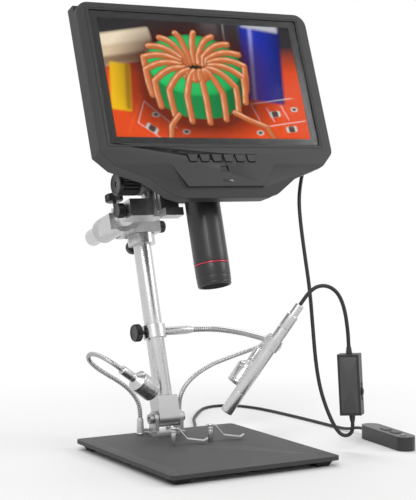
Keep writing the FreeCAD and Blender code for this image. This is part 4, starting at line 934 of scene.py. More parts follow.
@dataclass
class Base:
    """Plate on four feet, hinge bracket, clip posts, gland and fasteners."""

    clip_x: float = 20.7
    clip_y: float = 23.6
    plate_top: float = 10.0

    def build(self) -> None:
        """Dress the base."""
        softened("plate_form", "base_plate", POWDER, "base", 0.7)
        softened("feet_form", "rubber_feet", RUBBER, "base", 0.7)
        softened("bracket_form", "hinge_bracket", CAST, "base", 0.7)
        softened("fasteners_form", "base_fasteners", STEEL, "base", 0.25, 2)
        softened("gland_form", "cord_gland", BLACK, "base", 0.4, 2)
        posts = []
        for side in (-1, 1):
            foot = Setting((side * self.clip_x, self.clip_y, self.plate_top))
            outline = eased([
                (0, -4), (1.5, -4), (1.5, 0), (2.5, 0), (2.5, 11.2), (2.2, 11.6), (2.5, 12.0),
                (2.5, 14.0), (1.5, 14.0), (1.5, 15.6), (2.75, 15.6), (2.75, 16.7), (1.9, 17.2),
                (0, 17.2),
            ], 0.2)
            posts.append(turned("post", outline, foot, 40))
        add(merged("clip_posts_form", posts), TUBE, "base", "clip_posts")
        softened("left_clip_form", "left_spring_clip", STEEL, "left_clip", 1.6, 5, 9.0)
        softened("right_clip_form", "right_spring_clip", STEEL, "right_clip", 1.6, 5, 9.0)


@dataclass
class Column:
    """Pivot block, pillar, height collar, swivel casting and boom."""

    radius: float = 9.3
    wall: float = 1.6
    foot: float = 22.0
    top: float = 214.0
    thread_start: float = 9.6
    boom_side: float = -32

    def build(self) -> None:
        """Dress the stand."""
        softened("pivot_form", "pivot_block", CAST, "stand", 1.0)
        inner = self.radius - self.wall
        outline = eased([
            (self.radius, self.foot), (self.radius, self.top - 0.6), (self.radius - 0.5, self.top),
            (inner, self.top), (inner, self.foot),
        ], 0.3, True)
        add(turned("pillar_form", outline, STAND, 96, True), TUBE, "stand", "pillar_tube")
        softened("collar_form", "height_collar", LAMP, "collar", 0.7)
        behind = STAND.shifted(0, self.thread_start, 184.0).turned_to(Axis.ALONG)
        knurled_screw("collar_screw_form", behind, 7.9, 7.5, 7.0, "collar_screw", "collar_thumb_screw")
        softened("casting_form", "swivel_casting", CAST, "arm", 1.3, 4)
        beside = STAND.shifted(self.thread_start, 0, 200.3).turned_to(Axis.ACROSS)
        knurled_screw("swivel_knob_form", beside, 8.7, 6.4, 10.0, "swivel_knob", "swivel_lock_knob")
        over = STAND.shifted(self.boom_side, -14, 211.3)
        knurled_screw("boom_screw_form", over, 12.8, 9.3, 8.0, "boom_screw", "boom_lock_screw")
        boom = STAND.shifted(self.boom_side, -49.5, 202).turned_to(Axis.ALONG)
        outline = eased([
            (0, -20), (5.5, -20), (6, -19.4), (6, 0), (8.4, 0), (9, 0.7), (9, 97.0), (8, 98.0), (0, 98.0),
        ], 0.3)
        add(turned("boom_form", outline, boom, 80), TUBE, "boom", "boom_tube")


@dataclass
class FocusDrive:
    """Focus block, rack housing, pinion, knobs and slide."""

    knob_radius: float = 11.4
    knob_length: float = 25.0
    knob_offset: float = 22.0
    ribs: int = 18

    def build(self) -> None:
        """Dress the focus drive."""
        softened("focus_block_form", "focus_block", CAST, "focus_mount", 0.8)
        softened("rack_housing_form", "rack_housing", KNOB, "focus_mount", 0.5, 2)
        left = STAND.shifted(-38.3, -61, 202).facing_back(Axis.ACROSS)
        knurled_screw("tilt_screw_form", left, 9.0, 7.5, 8.0, "tilt_screw", "tilt_lock_screw")
        repaint("pinion_shaft", STEEL)
        softened("slide_form", "head_slide", CAST, "head", 0.4, 2)
        axis = STAND.shifted(-11, -71.5, 226).turned_to(Axis.ACROSS)
        near = [self._knob(axis, -1), self._knob(axis, 1)]
        add(merged("focus_knobs_form", near), KNOB, "pinion", "focus_knobs")

    def _knob(self, axis: Setting, side: int) -> Mesh:
        """One knob: ribs stand between a plain inner rim and an outer end disc with a raised rim."""
        r, length, bore = self.knob_radius, self.knob_length, 2.5
        outline = [
            (bore, 0), (r - 3.2, 0), (r - 2.2, 0.8), (r - 0.7, 1.2), (r - 0.1, 2.0), (r - 0.1, 3.2),
            (r, 3.6), (r, 9.0), (r, 14.0), (r, length - 5.0), (r - 0.1, length - 4.2),
            (r, length - 3.4), (r, length - 1.0), (r - 0.7, length), (r - 1.6, length),
            (r - 2.0, length - 0.8), (bore, length - 0.8), (bore, 0),
        ]
        line = eased(outline, 0.35)
        line[:, 1] = side * (line[:, 1] + self.knob_offset)
        low, high = sorted((side * (self.knob_offset + 3.4), side * (self.knob_offset + length - 4.4)))
        return turned("knob", line, axis, self.ribs * 16, False, Flutes(self.ribs, 1.0, low, high, 2.2))


@dataclass
class Barrel:
    """Lens barrel, accent ring, hood, glass and cell."""

    radius: float = 17.2
    tip: float = 110.7
    joint: float = 131.2
    top: float = 222.0

    def build(self) -> None:
        """Dress the barrel."""
        axis = STAND.shifted(13.3, -112.5, 0)
        r, inner = self.radius, 15.0
        outline = eased([
            (r - 0.35, self.joint + 1.5), (r, self.joint + 1.9), (r, self.joint + 8), (r, 160), (r, 190),
            (r, self.top), (inner, self.top), (inner, self.joint + 1.5),
        ], 0.25, True)
        add(turned("barrel_form", outline, axis, 112, True), BARREL, "head", "lens_barrel")
        ring = eased([
            (r + 0.15, self.joint + 0.05), (r + 0.15, self.joint + 1.45), (inner, self.joint + 1.45),
            (inner, self.joint + 0.05),
        ], 0.3, True)
        add(turned("accent_form", ring, axis, 112, True), ACCENT, "head", "accent_ring")
        tip = self.tip
        hood = [
            (r - 0.25, self.joint), (r - 0.05, self.joint - 0.5), (r - 0.2, tip + 9.0),
            (r - 0.5, tip + 8.6), (r - 0.3, tip + 8.0), (r - 0.55, tip + 3.4), (r - 0.9, tip + 3.0),
            (r - 0.65, tip + 2.5),
            (16.5, tip + 1.0), (16.0, tip), (14.6, tip), (14.1, tip + 0.5),
        ]
        thread = [(14.0 + 0.28 * (k % 2), tip + 0.9 + 0.42 * k) for k in range(9)]
        hood += thread + [(14.0, tip + 5.0), (13.0, tip + 5.0), (13.0, self.joint)]
        mesh = turned("hood_form", eased(hood, 0.15, True), axis, 112, True, None, 25.0)
        add(mesh, BARREL, "head", "lens_hood")
        dome = [(0, tip + 7.2)] + [(x, tip + 7.2 + 0.024 * x * x) for x in (2.0, 4.0, 6.0, 7.4)]
        lens = dome + [(7.45, tip + 10.9), (0, tip + 11)]
        add(turned("objective_form", np.array(lens), axis, 72), OPTIC, "head", "objective_lens")
        repaint("lens_cell", BARREL)


class MacroPicture:
    """The displayed picture: a close view of a made-up circuit board, worked out as arrays.

    Every shape is a function of x to the right (0 to 1.72) and y up (0 to 1). Each later
    layer is mixed over the earlier ones by a soft-edged mask.
    """

    def __init__(self, columns: int = 400, rows: int = 233) -> None:
        self.x, self.y = np.meshgrid(np.linspace(0, 1.72, columns), np.linspace(0, 1, rows))
        self.image = np.zeros((rows, columns, 3))

    def lay(self, mask: Array, colour: Array) -> None:
        """Mix a colour or an array of colours over the picture by a mask."""
        self.image = self.image * (1 - mask[..., None]) + colour * mask[..., None]

    @staticmethod
    def soft(distance: Array, blur: float = 0.006) -> Array:
        """One inside a shape, nought outside, with an edge as wide as the blur."""
        return np.clip(0.5 - distance / blur, 0, 1)

    def block(self, centre: Flat, half: Flat, turn: float, blur: float) -> Array:
        """Mask of a turned rectangle with small round corners."""
        c, s = math.cos(turn), math.sin(turn)
        u = (self.x - centre[0]) * c + (self.y - centre[1]) * s
        v = -(self.x - centre[0]) * s + (self.y - centre[1]) * c
        corner = 0.015
        past_u = np.maximum(np.abs(u) - half[0] + corner, 0)
        past_v = np.maximum(np.abs(v) - half[1] + corner, 0)
        return self.soft(np.hypot(past_u, past_v) - corner, blur)

    def line(self, a: Flat, b: Flat, width: float, blur: float) -> Array:
        """Mask of a straight stroke between two points."""
        d = np.array(b) - np.array(a)
        t = np.clip(((self.x - a[0]) * d[0] + (self.y - a[1]) * d[1]) / (d @ d), 0, 1)
        away = np.hypot(self.x - a[0] - t * d[0], self.y - a[1] - t * d[1])
        return self.soft(away - width, blur)

    def wire(self, points: Sequence[Flat], width: float, blur: float = 0.006) -> None:
        """A bent copper wire: its shade falls off as on a round bar, with a bright ridge."""
        copper_dark = np.array((0.13, 0.022, 0.008))
        copper = np.array((0.72, 0.2, 0.06))
        shine = np.array((1.0, 0.74, 0.5))
        best = np.full(self.x.shape, 1e3)
        side = np.zeros(self.x.shape)
        for a, b in zip(points, points[1:]):
            d = np.array(b) - np.array(a)
            size = math.hypot(*d)
            t = np.clip(((self.x - a[0]) * d[0] + (self.y - a[1]) * d[1]) / size ** 2, 0, 1)
            px, py = self.x - a[0] - t * d[0], self.y - a[1] - t * d[1]
            away = np.hypot(px, py)
            lit = (px * -0.45 + py * 0.89) / width
            closer = away < best
            best = np.where(closer, away, best)
            side = np.where(closer, lit, side)
        across = np.clip(best / width, 0, 1)
        round_shade = np.sqrt(np.clip(1 - across ** 2, 0, 1))
        tone = np.clip(0.35 + 0.5 * round_shade * (0.65 + 0.5 * side), 0, 1)[..., None]
        colour = copper_dark + (copper - copper_dark) * tone * 1.25
        ridge = np.exp(-((side - 0.35) / 0.2) ** 2) * round_shade
        ripple = 0.75 + 0.25 * np.sin(self.x * 61 + self.y * 43)
        colour = colour + (shine - colour) * (ridge * ripple * 0.75)[..., None]
        self.lay(self.soft(best - width * 1.16, blur * 2.2) * 0.55, np.array((0.03, 0.012, 0.006)))
        self.lay(self.soft(best - width, blur), colour)

    def drum(self, centre: Flat, half: Flat, turn: float, colour: Array,
             blur: float) -> None:
        """A standing round can: brightness across it falls off as on a cylinder."""
        c, s = math.cos(turn), math.sin(turn)
        u = ((self.x - centre[0]) * c + (self.y - centre[1]) * s) / half[0]
        bulge = np.sqrt(np.clip(1 - u ** 2, 0, 1))
        tone = 0.25 + 0.75 * bulge * np.clip(0.9 - 0.55 * u, 0, 1.3)
        glint = np.exp(-((u + 0.45) / 0.1) ** 2) * 0.5
        shade = colour * tone[..., None] + glint[..., None] * 0.6
        self.lay(self.block(centre, half, turn, blur), shade)

    def paint(self) -> Array:
        """Paint every layer from the back to the front.

        Returns:
            Colours in linear light, rows by columns by four.
        """
        x, y = self.x, self.y
        haze = 0.5 + 0.5 * np.sin(x * 3.1 + 1.0) * np.cos(y * 2.3)
        red = np.array((0.78, 0.075, 0.012))
        self.image[:] = red * (0.72 + 0.3 * haze * y + 0.35 * (1 - y))[..., None]
        self.lay(self.soft(0.62 + 0.05 * x - y, 0.24), np.array((0.03, 0.028, 0.03)))
        self.lay(self.block((1.22, 0.93), (0.3, 0.14), 0.1, 0.12), np.array((0.16, 0.16, 0.17)))
        for k in range(7):
            start = (0.1 + 0.23 * k, 0.02)
            self.lay(self.line(start, (0.26 + 0.21 * k, 0.34 + 0.05 * (k % 3)), 0.006, 0.012) * 0.4,
                     np.array((1.0, 0.2, 0.06)))
        self.drum((1.4, 0.72), (0.19, 0.4), -0.12, np.array((0.012, 0.03, 0.42)), 0.03)
        self.lay(self.block((1.44, 1.02), (0.17, 0.055), -0.12, 0.03), np.array((0.55, 0.56, 0.6)))
        self.drum((1.13, 0.84), (0.09, 0.2), -0.05, np.array((0.02, 0.02, 0.022)), 0.05)
        self.lay(self.block((0.2, 0.76), (0.24, 0.13), 0.18, 0.035), np.array((0.78, 0.6, 0.4)))
        self.lay(self.block((0.2, 0.845), (0.23, 0.05), 0.18, 0.03), np.array((0.9, 0.76, 0.56)))
        self.lay(self.block((0.17, 0.66), (0.2, 0.035), 0.18, 0.03), np.array((0.3, 0.19, 0.11)))
        self.lay(self.block((0.105, 0.42), (0.085, 0.2), -0.12, 0.022), np.array((0.9, 0.53, 0.01)))
        self.lay(self.block((0.165, 0.42), (0.02, 0.19), -0.12, 0.02), np.array((0.55, 0.28, 0.01)))
        white = np.array((0.86, 0.8, 0.76))
        for a, b in (((0.28, 0.3), (0.52, 0.08)), ((0.28, 0.3), (0.2, 0.12)), ((0.2, 0.12), (0.42, -0.04)),
                     ((1.22, 0.3), (1.62, 0.36)), ((1.22, 0.3), (1.3, 0.1)), ((1.3, 0.1), (1.7, 0.16)),
                     ((1.36, 0.27), (1.41, 0.15)), ((1.5, 0.29), (1.55, 0.17))):
            self.lay(self.line(a, b, 0.0035, 0.006) * 0.8, white)
        for cx, cy in ((0.36, 0.19), (1.62, 0.26), (1.26, 0.05), (0.6, 0.05)):
            away = np.hypot(x - cx, (y - cy) * 1.5)
            self.lay(self.soft(away - 0.034, 0.01), np.array((0.62, 0.6, 0.52)))
            self.lay(self.soft(away - 0.018, 0.01), np.array((0.06, 0.04, 0.03)))
        for cx, cy, turn in ((1.43, 0.215, 0.14), (1.56, 0.085, 0.14), (0.31, 0.075, -0.6)):
            self.lay(self.block((cx, cy), (0.052, 0.026), turn, 0.008), np.array((0.66, 0.64, 0.6)))
            self.lay(self.block((cx, cy), (0.028, 0.026), turn, 0.008), np.array((0.09, 0.06, 0.045)))
        self.toroid(0.78, 0.62)
        edge = np.clip(1.0 - 0.25 * ((x / 1.72 - 0.5) ** 2 + (y - 0.5) ** 2), 0, 1)
        speck = np.sin(x * 371.0 + np.sin(y * 533.0) * 3.0) * np.sin(y * 419.0 + np.sin(x * 277.0) * 2.0)
        out = np.clip(self.image * (edge * (1 + 0.05 * speck))[..., None], 0, 1)
        return np.concatenate((out, np.ones((*x.shape, 1))), axis=-1)

    def toroid(self, cx: float, cy: float) -> None:
        """A green ring core seen from above its front, wound with copper wire.

        The core is an ellipse swept down by its height. Each turn of wire comes up out of the
        hole, arches over the top and, on the near side, runs down the outer wall.

        Args:
            cx: centre of the top face, to the right.
            cy: centre of the top face, upwards.
        """
        outer, inner, height = np.array((0.43, 0.27)), np.array((0.15, 0.085)), 0.19
        dx, dy = self.x - cx, self.y - cy
        below = np.where(dy > 0, dy, np.minimum(dy + height, 0))
        gloom = np.hypot(dx / 0.62, (below + 0.03) / 0.4) - 1
        self.lay(self.soft(gloom, 0.45) * 0.85, np.array((0.05, 0.008, 0.005)))
        side = dx / outer[0]
        wall = 0.16 + 0.5 * np.sqrt(np.clip(1 - side ** 2, 0, 1)) * (0.8 - 0.45 * side)
        grit = 1 + 0.1 * np.sin(self.x * 620) * np.sin(self.y * 540 + self.x * 130)
        green = np.array((0.02, 0.42, 0.1))
        body = self.soft(np.hypot(side, below / outer[1]) - 1, 0.03)
        self.lay(body, green * (wall * grit)[..., None])
        rho = np.hypot(side, dy / outer[1])
        crown = np.sqrt(np.clip(1 - ((rho - 0.66) / 0.36) ** 2, 0, 1))
        top = np.clip(0.55 + 0.6 * crown - 0.3 * side, 0.1, 1.3)
        self.lay(self.soft(rho - 0.97, 0.05), green * (top * grit)[..., None])
        self.lay(self.soft(np.hypot(dx / inner[0], dy / inner[1]) - 1, 0.12), np.array((0.012, 0.02, 0.01)))
        count = 17
        angles = [math.tau * (k + 0.3) / count for k in range(count)]
        for angle in sorted(angles, key=math.sin, reverse=True):
            round_point = np.array((math.cos(angle), math.sin(angle)))
            late_point = np.array((math.cos(angle - 0.1), math.sin(angle - 0.1)))
            start, end = inner * 0.9 * round_point, outer * 1.04 * late_point
            loops = [(cx + start[0] * 0.9, cy + start[1] - 0.05)]
            for t in np.linspace(0, 1, 7):
                spot = start * (1 - t) + end * t
                loops.append((cx + spot[0], cy + spot[1] + 0.055 * math.sin(math.pi * (0.15 + 0.8 * t))))
            if math.sin(angle) < 0.35:
                loops.append((cx + end[0] * 0.99, cy + end[1] - height * 0.5))
                loops.append((cx + end[0] * 0.95, cy + end[1] - height - 0.02))
            self.wire(loops, 0.027)
        for lead in (
            ((0.28, -0.4), (0.4, -0.46), (0.55, -0.52), (0.6, -0.62)),
            ((-0.22, -0.43), (-0.3, -0.52), (-0.32, -0.64)),
        ):
            self.wire([(cx + a, cy + b) for a, b in lead], 0.024)


@dataclass
class ScreenHead:
    """Front frame with its border and keys, pane, picture and rear shell."""

    opening: Flat = (232.7, 135.3)
    gap: float = 0.2
    panel_front: float = 2.25
    panel_back: float = 6.35
    border: Flat = (8.5, 7.0)

    def build(self) -> None:
        """Dress the head."""
        softened("front_form", "front_frame", HEAD, "head", 0.9, 3)
        self._border()
        self._picture()
        softened("pane_form", "screen_glass", PANE, "head", 0.3, 2)
        softened("rear_form", "rear_shell", HEAD, "head", 1.3, 3)
        softened("receiver_form", "receiver_window", WINDOW_AND_SLOT_SHADE, "head", 0.3, 2)
        for number in range(1, 7):
            softened(f"key_{number}_form", f"key_{number}", KEYS, f"button_{number}", 0.45, 2)
        repaint("circuit_boards", BOARD)
        softened("plug_form", "power_plug", BLACK, "head", 0.5, 2)
        self._slot()
        self._vents()

    def _rim(self, half_u: float, half_w: float, corner: float) -> Array:
        """A rectangle with round corners as points (u, w)."""
        corners = [(-half_u, -half_w), (half_u, -half_w), (half_u, half_w), (-half_u, half_w)]
        return eased(corners, corner, True, 7)

    def _border(self) -> None:
        """A thin groove round the screen and a black printed border behind the pane."""
        wide, tall = self.opening[0] / 2, self.opening[1] / 2
        grid = []
        for outside, depth in ((3.4, -0.02), (3.2, -0.42), (2.0, -0.42), (1.8, -0.02)):
            rim = self._rim(wide + outside, tall + outside, 1.5)
            grid.append(np.column_stack((rim[:, 0], np.full(len(rim), depth), rim[:, 1])))
        mesh = grid_mesh("screen_bead", HEAD_FACE.place(np.array(grid)), False, True)
        add(mesh, HEAD, "head")
        grid = []
        for inset_u, inset_w, depth in ((0.3, 0.3, 2.21), (self.border[0], self.border[1], 2.21)):
            rim = self._rim(wide - inset_u, tall - inset_w, 0.4)
            grid.append(np.column_stack((rim[:, 0], np.full(len(rim), depth), rim[:, 1])))
        mesh = grid_mesh("printed_border", HEAD_FACE.place(np.array(grid)), False, True)
        add(mesh, BEZEL_AND_VENT_SHADE, "head")

    def _picture(self) -> None:
        """The panel: its front is a fine grid that carries the picture, its sides and back are plain."""
        wide, tall = self.opening[0] / 2 - self.gap, self.opening[1] / 2 - self.gap
        rows, columns = (233, 400)
        picture = MacroPicture(columns, rows).paint()
        u, w = np.meshgrid(np.linspace(-wide, wide, columns), np.linspace(-tall, tall, rows))
        front = np.stack((u, np.full(u.shape, self.panel_front), w), axis=-1)
        index = np.arange(rows * columns).reshape(rows, columns)
        quads = np.stack((index[:-1, :-1], index[:-1, 1:], index[1:, 1:], index[1:, :-1]), axis=-1)
        around = ((-1, -1), (1, -1), (1, 1), (-1, 1))
        corners = np.array([(a * wide, self.panel_back, b * tall) for a, b in around])
        count = rows * columns
        border = (index[0, :], index[:, -1], index[-1, ::-1], index[::-1, 0])
        faces = quads.reshape(-1, 4).tolist()
        back = [count, count + 1, count + 2, count + 3]
        for number, edge in enumerate(border):
            near, far = back[number], back[(number + 1) % 4]
            faces.append([near, far, *[int(i) for i in edge[::-1]]])
        faces.append(back[::-1])
        mesh = bpy.data.meshes.new("panel_form")
        points = np.vstack((front.reshape(-1, 3), corners))
        mesh.from_pydata(HEAD_FACE.place(points).tolist(), [], faces)
        layer = mesh.color_attributes.new("picture", "FLOAT_COLOR", "POINT")
        scaled = np.zeros((count + 4, 4))
        scaled[:count] = self._shrunk(picture, u, w)
        scaled[:, 3] = 1
        layer.data.foreach_set("color", scaled.ravel())
        add(mesh, PICTURE, "head", "screen_panel")

    def _shrunk(self, picture: Array, u: Array, w: Array) -> Array:
        """The picture drawn inside the printed border; nothing is lit behind the border."""
        wide, tall = self.opening[0] / 2 - self.border[0], self.opening[1] / 2 - self.border[1]
        rows, columns = u.shape
        column = np.clip((u / wide * 0.5 + 0.5) * (columns - 1), 0, columns - 1)
        row = np.clip((w / tall * 0.5 + 0.5) * (rows - 1), 0, rows - 1)
        c0, r0 = np.floor(column).astype(int), np.floor(row).astype(int)
        c1, r1 = np.minimum(c0 + 1, columns - 1), np.minimum(r0 + 1, rows - 1)
        fc, fr = (column - c0)[..., None], (row - r0)[..., None]
        mixed = (picture[r0, c0] * (1 - fc) * (1 - fr) + picture[r0, c1] * fc * (1 - fr)
                 + picture[r1, c0] * (1 - fc) * fr + picture[r1, c1] * fc * fr)
        lit = (np.abs(u) < wide) & (np.abs(w) < tall)
        return (mixed * lit[..., None]).reshape(-1, 4)

    def _slot(self) -> None:
        """The card slot under the receiver window: a near-black slab with a raised lip; its colour is
        painted shade standing for the unlit recess.
        """
        centre_u, centre_w = 2.2, -104.6
        outline = eased([(-6.2, -1.5), (6.2, -1.5), (5.2, 1.5), (-5.2, 1.5)], 1.0, True, 5)
        spot = HEAD_FACE.facing_back(Axis.ALONG).shifted(centre_u, centre_w, 0)
        # painted shade: the slot is not cut; a near-black slab stands in for the shade inside the opening
        add(slab("card_slot_painted_shade", outline, spot, -0.4, 0.22, 0.15), WINDOW_AND_SLOT_SHADE, "head")

    def _vents(self) -> None:
        """Rows of vent slots and four screw caps on the rear bulge. The vent slots are raised near-black
        slabs, painted shade standing for the unlit openings.
        """
        back = Setting(HEAD_FACE.origin, tuple(-np.array(HEAD_FACE.across)), HEAD_FACE.up, HEAD_FACE.along)
        pieces = []
        for row in range(2):
            for number in range(13):
                centre = back.shifted(-60 + number * 10, 30 - row * 16, 0)
                outline = eased([(-1.2, -6), (1.2, -6), (1.2, 6), (-1.2, 6)], 1.2, True, 5)
                pieces.append(slab("vent", outline, centre, 47.4, 48.12, 0.1))
        # painted shade: the vent openings are not cut; near-black slabs stand in for the shade inside them
        add(merged("vent_slot_painted_shade", pieces), BEZEL_AND_VENT_SHADE, "head")
        caps = []
        for u in (-76, 76):
            for w in (-50, 37):
                outline = eased([
                    (0, 47.6), (3.0, 47.6), (3.0, 48.3), (2.4, 48.5), (1.2, 48.5), (1.0, 48.1), (0, 48.1),
                ], 0.2)
                caps.append(turned("cap", outline, back.shifted(u, w, 0), 32))
        add(merged("screw_caps", caps), KEYS, "head")


@dataclass
class FlexNeck:
    """A stiff bendable neck: a steel coil that shows as close ribs."""

    name: str
    node: str
    body: str
    radius: float
    controls: tuple[Point, ...]
    pitch: float = 2.0

    def mesh(self) -> Mesh:
        """The section's radius swells and shrinks by 12 % once a pitch along the spline of the route."""
        path = spline_path(np.array(self.controls), 3, self.pitch / 6)
        run = np.arange(len(path)) * self.pitch / 6
        radius = self.radius * (0.94 + 0.1 * np.abs(np.sin(math.pi * run / self.pitch)))
        return carried(self.name, path, radius, 16)


@dataclass
class Accessory:
    """Ring, arm tube, neck, pen camera and dimmer."""

    neck: FlexNeck = field(default_factory=lambda: FlexNeck(
        "accessory_neck_form", "accessory_gooseneck", "accessory", 3.0,
        ((46.0, 111.35, 110.37), (63.8, 111.3, 110.4), (76.8, 103.3, 109.8), (84.8, 89.3, 109.0),
         (88.3, 71.3, 108.4),
         (87.8, 51.3, 107.8), (87.3, 32.3, 107.2), (84.3, 11.8, 106.6), (77.5, 0.0, 106.57)), 2.2))
    centre: Point = (75.8, -2.952, 106.572)
    pen_tip: Point = (31.441, 12.096, 39.5)
    view: Point = (-0.499, -0.867, 0.0)
    pen_axis: Point = (0.491, -0.28, 0.825)

    def build(self) -> None:
        """Dress the accessory arm."""
        softened("ring_form", "accessory_ring", LAMP, "accessory", 0.6)
        left = STAND.shifted(-9.6, 0, 88.75).facing_back(Axis.ACROSS)
        knurled_screw("ring_screw_form", left, 6.7, 9.0, 7.5, "ring_screw", "ring_thumb_screw")
        look = Setting.looking(self.centre, self.view)
        outline = eased([(0, -3), (8.6, -3), (9.2, -2.4), (9.2, -0.05), (0, -0.05)], 0.4)
        neck = merged("accessory_neck_form", [self.neck.mesh(), turned("disc", outline, look, 72)])
        add(neck, NECK, "accessory", "accessory_gooseneck")
        softened("pen_clip_form", "pen_clip", LAMP, "pen", 0.5)
        pen = Setting.looking(self.pen_tip, self.pen_axis)
        outline = eased([
            (4.1, 0.0), (5.5, 0.0), (6.1, 0.6), (6.1, 24.0), (5.95, 24.3), (6.1, 24.6), (6.1, 100.0),
            (5.8, 100.4), (6.1, 100.8), (6.1, 115.2), (5.4, 116.0), (4.6, 116.2), (4.6, 127.3),
            (4.1, 128.0), (1.9, 128.0), (1.9, 112.0), (4.6, 112.0), (4.8, 4.2), (4.1, 4.0),
        ], 0.3, True)
        add(turned("pen_form", outline, pen, 64, True), TUBE, "pen", "pen_camera_tube")
        glass = turned("pen_glass", eased([(0, 0.7), (4.0, 0.7), (4.0, 1.8), (0, 1.8)], 0.2), pen, 48)
        add(glass, OPTIC, "pen")
        repaint("pen_camera_optics", BARREL)
        self._dimmer()

    def _dimmer(self) -> None:
        """Dimmer box with rolled edges, a bare face plate and a ribbed wheel."""
        softened("dimmer_front_form", "dimmer_front_shell", BLACK, "accessory", 1.6, 4)
        softened("dimmer_rear_form", "dimmer_rear_shell", BLACK, "accessory", 1.2, 4)
        box = self.dimmer_setting()
        face = box.facing_back(Axis.ALONG)
        outline = eased([(-8.4, -27.4), (8.4, -27.4), (8.4, 27.4), (-8.4, 27.4)], 1.6, True, 5)
        add(slab("dimmer_face", outline, face, 6.9, 7.14, 0.1), LABEL, "accessory")
        wheel = box.shifted(4.95, 0, -7.2).turned_to(Axis.ALONG)
        line = eased([(1.56, -2), (7.4, -2), (8.0, -1.5), (8.0, 1.5), (7.4, 2), (1.56, 2)], 0.3, True)
        mesh = turned("wheel_form", line, wheel, 36 * 6, True, Flutes(36, 0.5, -1.9, 1.9))
        add(mesh, KNOB, "dimmer_wheel_body", "dimmer_wheel")

    def dimmer_setting(self) -> Setting:
        """The box's own frame: first turned 3.3 degrees nose up, then 47.9 degrees to the right."""
        yaw, pitch = math.radians(-47.9), math.radians(-3.3)
        across = (math.cos(pitch) * math.cos(yaw), math.cos(pitch) * math.sin(yaw), -math.sin(pitch))
        along = (-math.sin(yaw), math.cos(yaw), 0.0)
        up = (math.sin(pitch) * math.cos(yaw), math.sin(pitch) * math.sin(yaw), math.cos(pitch))
        return Setting((137.4886, -48.6443, 67.0995), across, along, up)


@dataclass
class Lamp:
    """One lamp on its neck."""

    label: str
    root: Point
    front: Point
    aim: Point
    controls: tuple[Point, ...]

    def parts(self) -> dict[str, Mesh]:
        """Turned housing with its light board, domed lens, ribbed neck and tapered socket.

        Returns:
            One mesh for each of the four nodes.
        """
        face = Setting.looking(self.front, self.aim)
        shell = eased([
            (9.75, -3.6), (9.75, -1.1), (10.2, -0.5), (10.3, 0), (10.7, 0), (11, -0.5), (11, -3.0),
            (10.8, -3.3), (11, -3.6), (11, -17.5), (10.75, -17.9), (11, -18.3), (11, -21.6),
            (10.4, -22.4), (5.0, -26.8), (4.6, -27.4), (4.6, -31.0), (4.35, -31.4), (4.6, -31.8),
            (4.6, -44.2), (3.8, -45.0), (1.1, -45.0), (1.1, -20), (9.7, -20), (9.7, -3.6),
        ], 0.3, True)
        housing = turned("housing", shell, face, 72, True)
        board = turned("board", np.array([(0, -15), (9.6, -15), (9.6, -13.4), (0, -13.4)]), face, 48)
        bead = eased([(0, -13.4), (2.5, -13.4), (2.4, -11.9), (1.4, -11.2), (0, -11.0)], 0.5)
        light = turned("light", bead, face, 32)
        dome = [(x, -1.6 - 0.012 * x * x) for x in (0.0, 2.0, 4.0, 6.0, 8.0, 9.6)]
        lens = turned("lens", np.array([(0, -3.4), (9.6, -3.4)] + dome[::-1]), face, 64)
        path = spline_path(np.array(self.controls), 3, 0.35)
        run = np.arange(len(path)) * 0.35
        neck = carried("neck", path, 2.25 * (0.93 + 0.11 * np.abs(np.sin(math.pi * run / 1.9))), 14)
        foot = Setting((self.root[0], self.root[1], 10.0))
        socket = turned("socket", eased([
            (0, -4), (1.5, -4), (1.5, 0), (4.0, 0), (4.0, 1.2), (3.75, 1.5), (3.6, 9.6), (3.45, 9.9),
            (3.5, 10.2), (3.1, 16.0), (2.7, 16.5), (0, 16.5),
        ], 0.25), foot, 40)
        names = ("housing", "board", "light", "lens", "neck", "socket")
        return dict(zip(names, (housing, board, light, lens, neck, socket)))


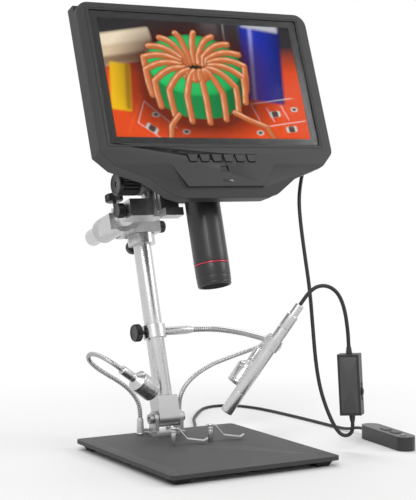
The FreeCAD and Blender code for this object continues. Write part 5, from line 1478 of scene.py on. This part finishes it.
@dataclass
class Lamps:
    """Both lamps."""

    left: Lamp = field(default_factory=lambda: Lamp(
        "left", (-22.5, 91.0, 26.5), (-21.5, 67.0, 57.0), (0.8196, 0.1321, -0.5574),
        ((-22.5, 91.0, 24.0), (-22.5, 91.0, 36.5), (-26.0, 92.5, 46.5), (-33.0, 95.0, 56.0),
         (-42.5, 98.0, 64.0), (-55.0, 101.5, 72.0), (-66.5, 104.5, 80.0), (-74.5, 104.0, 88.5),
         (-77.0, 95.0, 94.5), (-76.5, 82.0, 96.0), (-73.5, 69.0, 93.5), (-67.4, 59.6, 88.2),
         (-57.6, 61.2, 81.6))))
    right: Lamp = field(default_factory=lambda: Lamp(
        "right", (24.8, 95.5, 26.5), (95.2, 97.8, 51.6), (-0.5989, 0.0599, -0.7986),
        ((24.8, 95.5, 24.0), (24.8, 95.5, 36.5), (26.3, 94.5, 46.5), (33.3, 95.0, 57.0),
         (47.5, 97.0, 66.5), (66.5, 100.0, 74.0), (81.5, 102.0, 77.5), (97.5, 104.5, 81.0),
         (115.5, 107.0, 84.5), (131.5, 109.0, 88.0), (141.5, 107.0, 94.5), (140.0, 100.5, 102.0),
         (128.7, 94.4, 96.3), (121.6, 95.1, 86.7))))

    def build(self) -> None:
        """Dress both lamps."""
        pair = (self.left.parts(), self.right.parts())
        for name, kinds, finish, nodes in (
            ("lamp_housings_form", ("housing",), LAMP, ("lamp_housings",)),
            ("lamp_boards", ("board", "light"), PEARL, ()),
            ("lamp_lenses_form", ("lens",), LAMP_OPTIC, ("lamp_lenses",)),
            ("lamp_necks_form", ("neck",), NECK, ("lamp_goosenecks",)),
            ("lamp_sockets_form", ("socket",), LAMP, ("lamp_sockets",)),
        ):
            add(merged(name, [lamp[kind] for lamp in pair for kind in kinds]), finish, "base", *nodes)


@dataclass
class HandControl:
    """Pill-shaped hand control with two keys and a dark end window."""

    place: Point = (194.5, -34.0, 0.2)
    heading: float = -96.5

    def build(self) -> None:
        """Dress the control."""
        softened("control_lower_form", "remote_lower_shell", CONTROL, "base", 2.6, 5)
        softened("control_upper_form", "remote_upper_shell", CONTROL, "base", 2.6, 5)
        for n in (1, 2):
            softened(f"control_key_{n}_form", f"remote_key_{n}", KEYS, f"remote_button_{n}", 0.9, 4)
        c, s = math.cos(math.radians(self.heading)), math.sin(math.radians(self.heading))
        own = Setting(self.place, (c, s, 0), (-s, c, 0))
        eye = own.shifted(30.0, 0, 13.6)
        outline = eased([(0, 0), (3.4, 0), (3.4, 0.6), (2.6, 1.0), (0, 1.15)], 0.3)
        add(turned("control_window", outline, eye, 40), WINDOW_AND_SLOT_SHADE, "base")


def main() -> None:
    """Build every sub-assembly in order and report."""
    logging.basicConfig(level=logging.INFO)
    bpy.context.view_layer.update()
    studio = Studio()
    studio.camera()
    cords = Cords()
    cords.build()
    studio.floor()
    studio.lights()
    Base().build()
    Column().build()
    FocusDrive().build()
    Barrel().build()
    ScreenHead().build()
    Accessory().build()
    Lamps().build()
    HandControl().build()


if __name__ == "__main__":
    main()
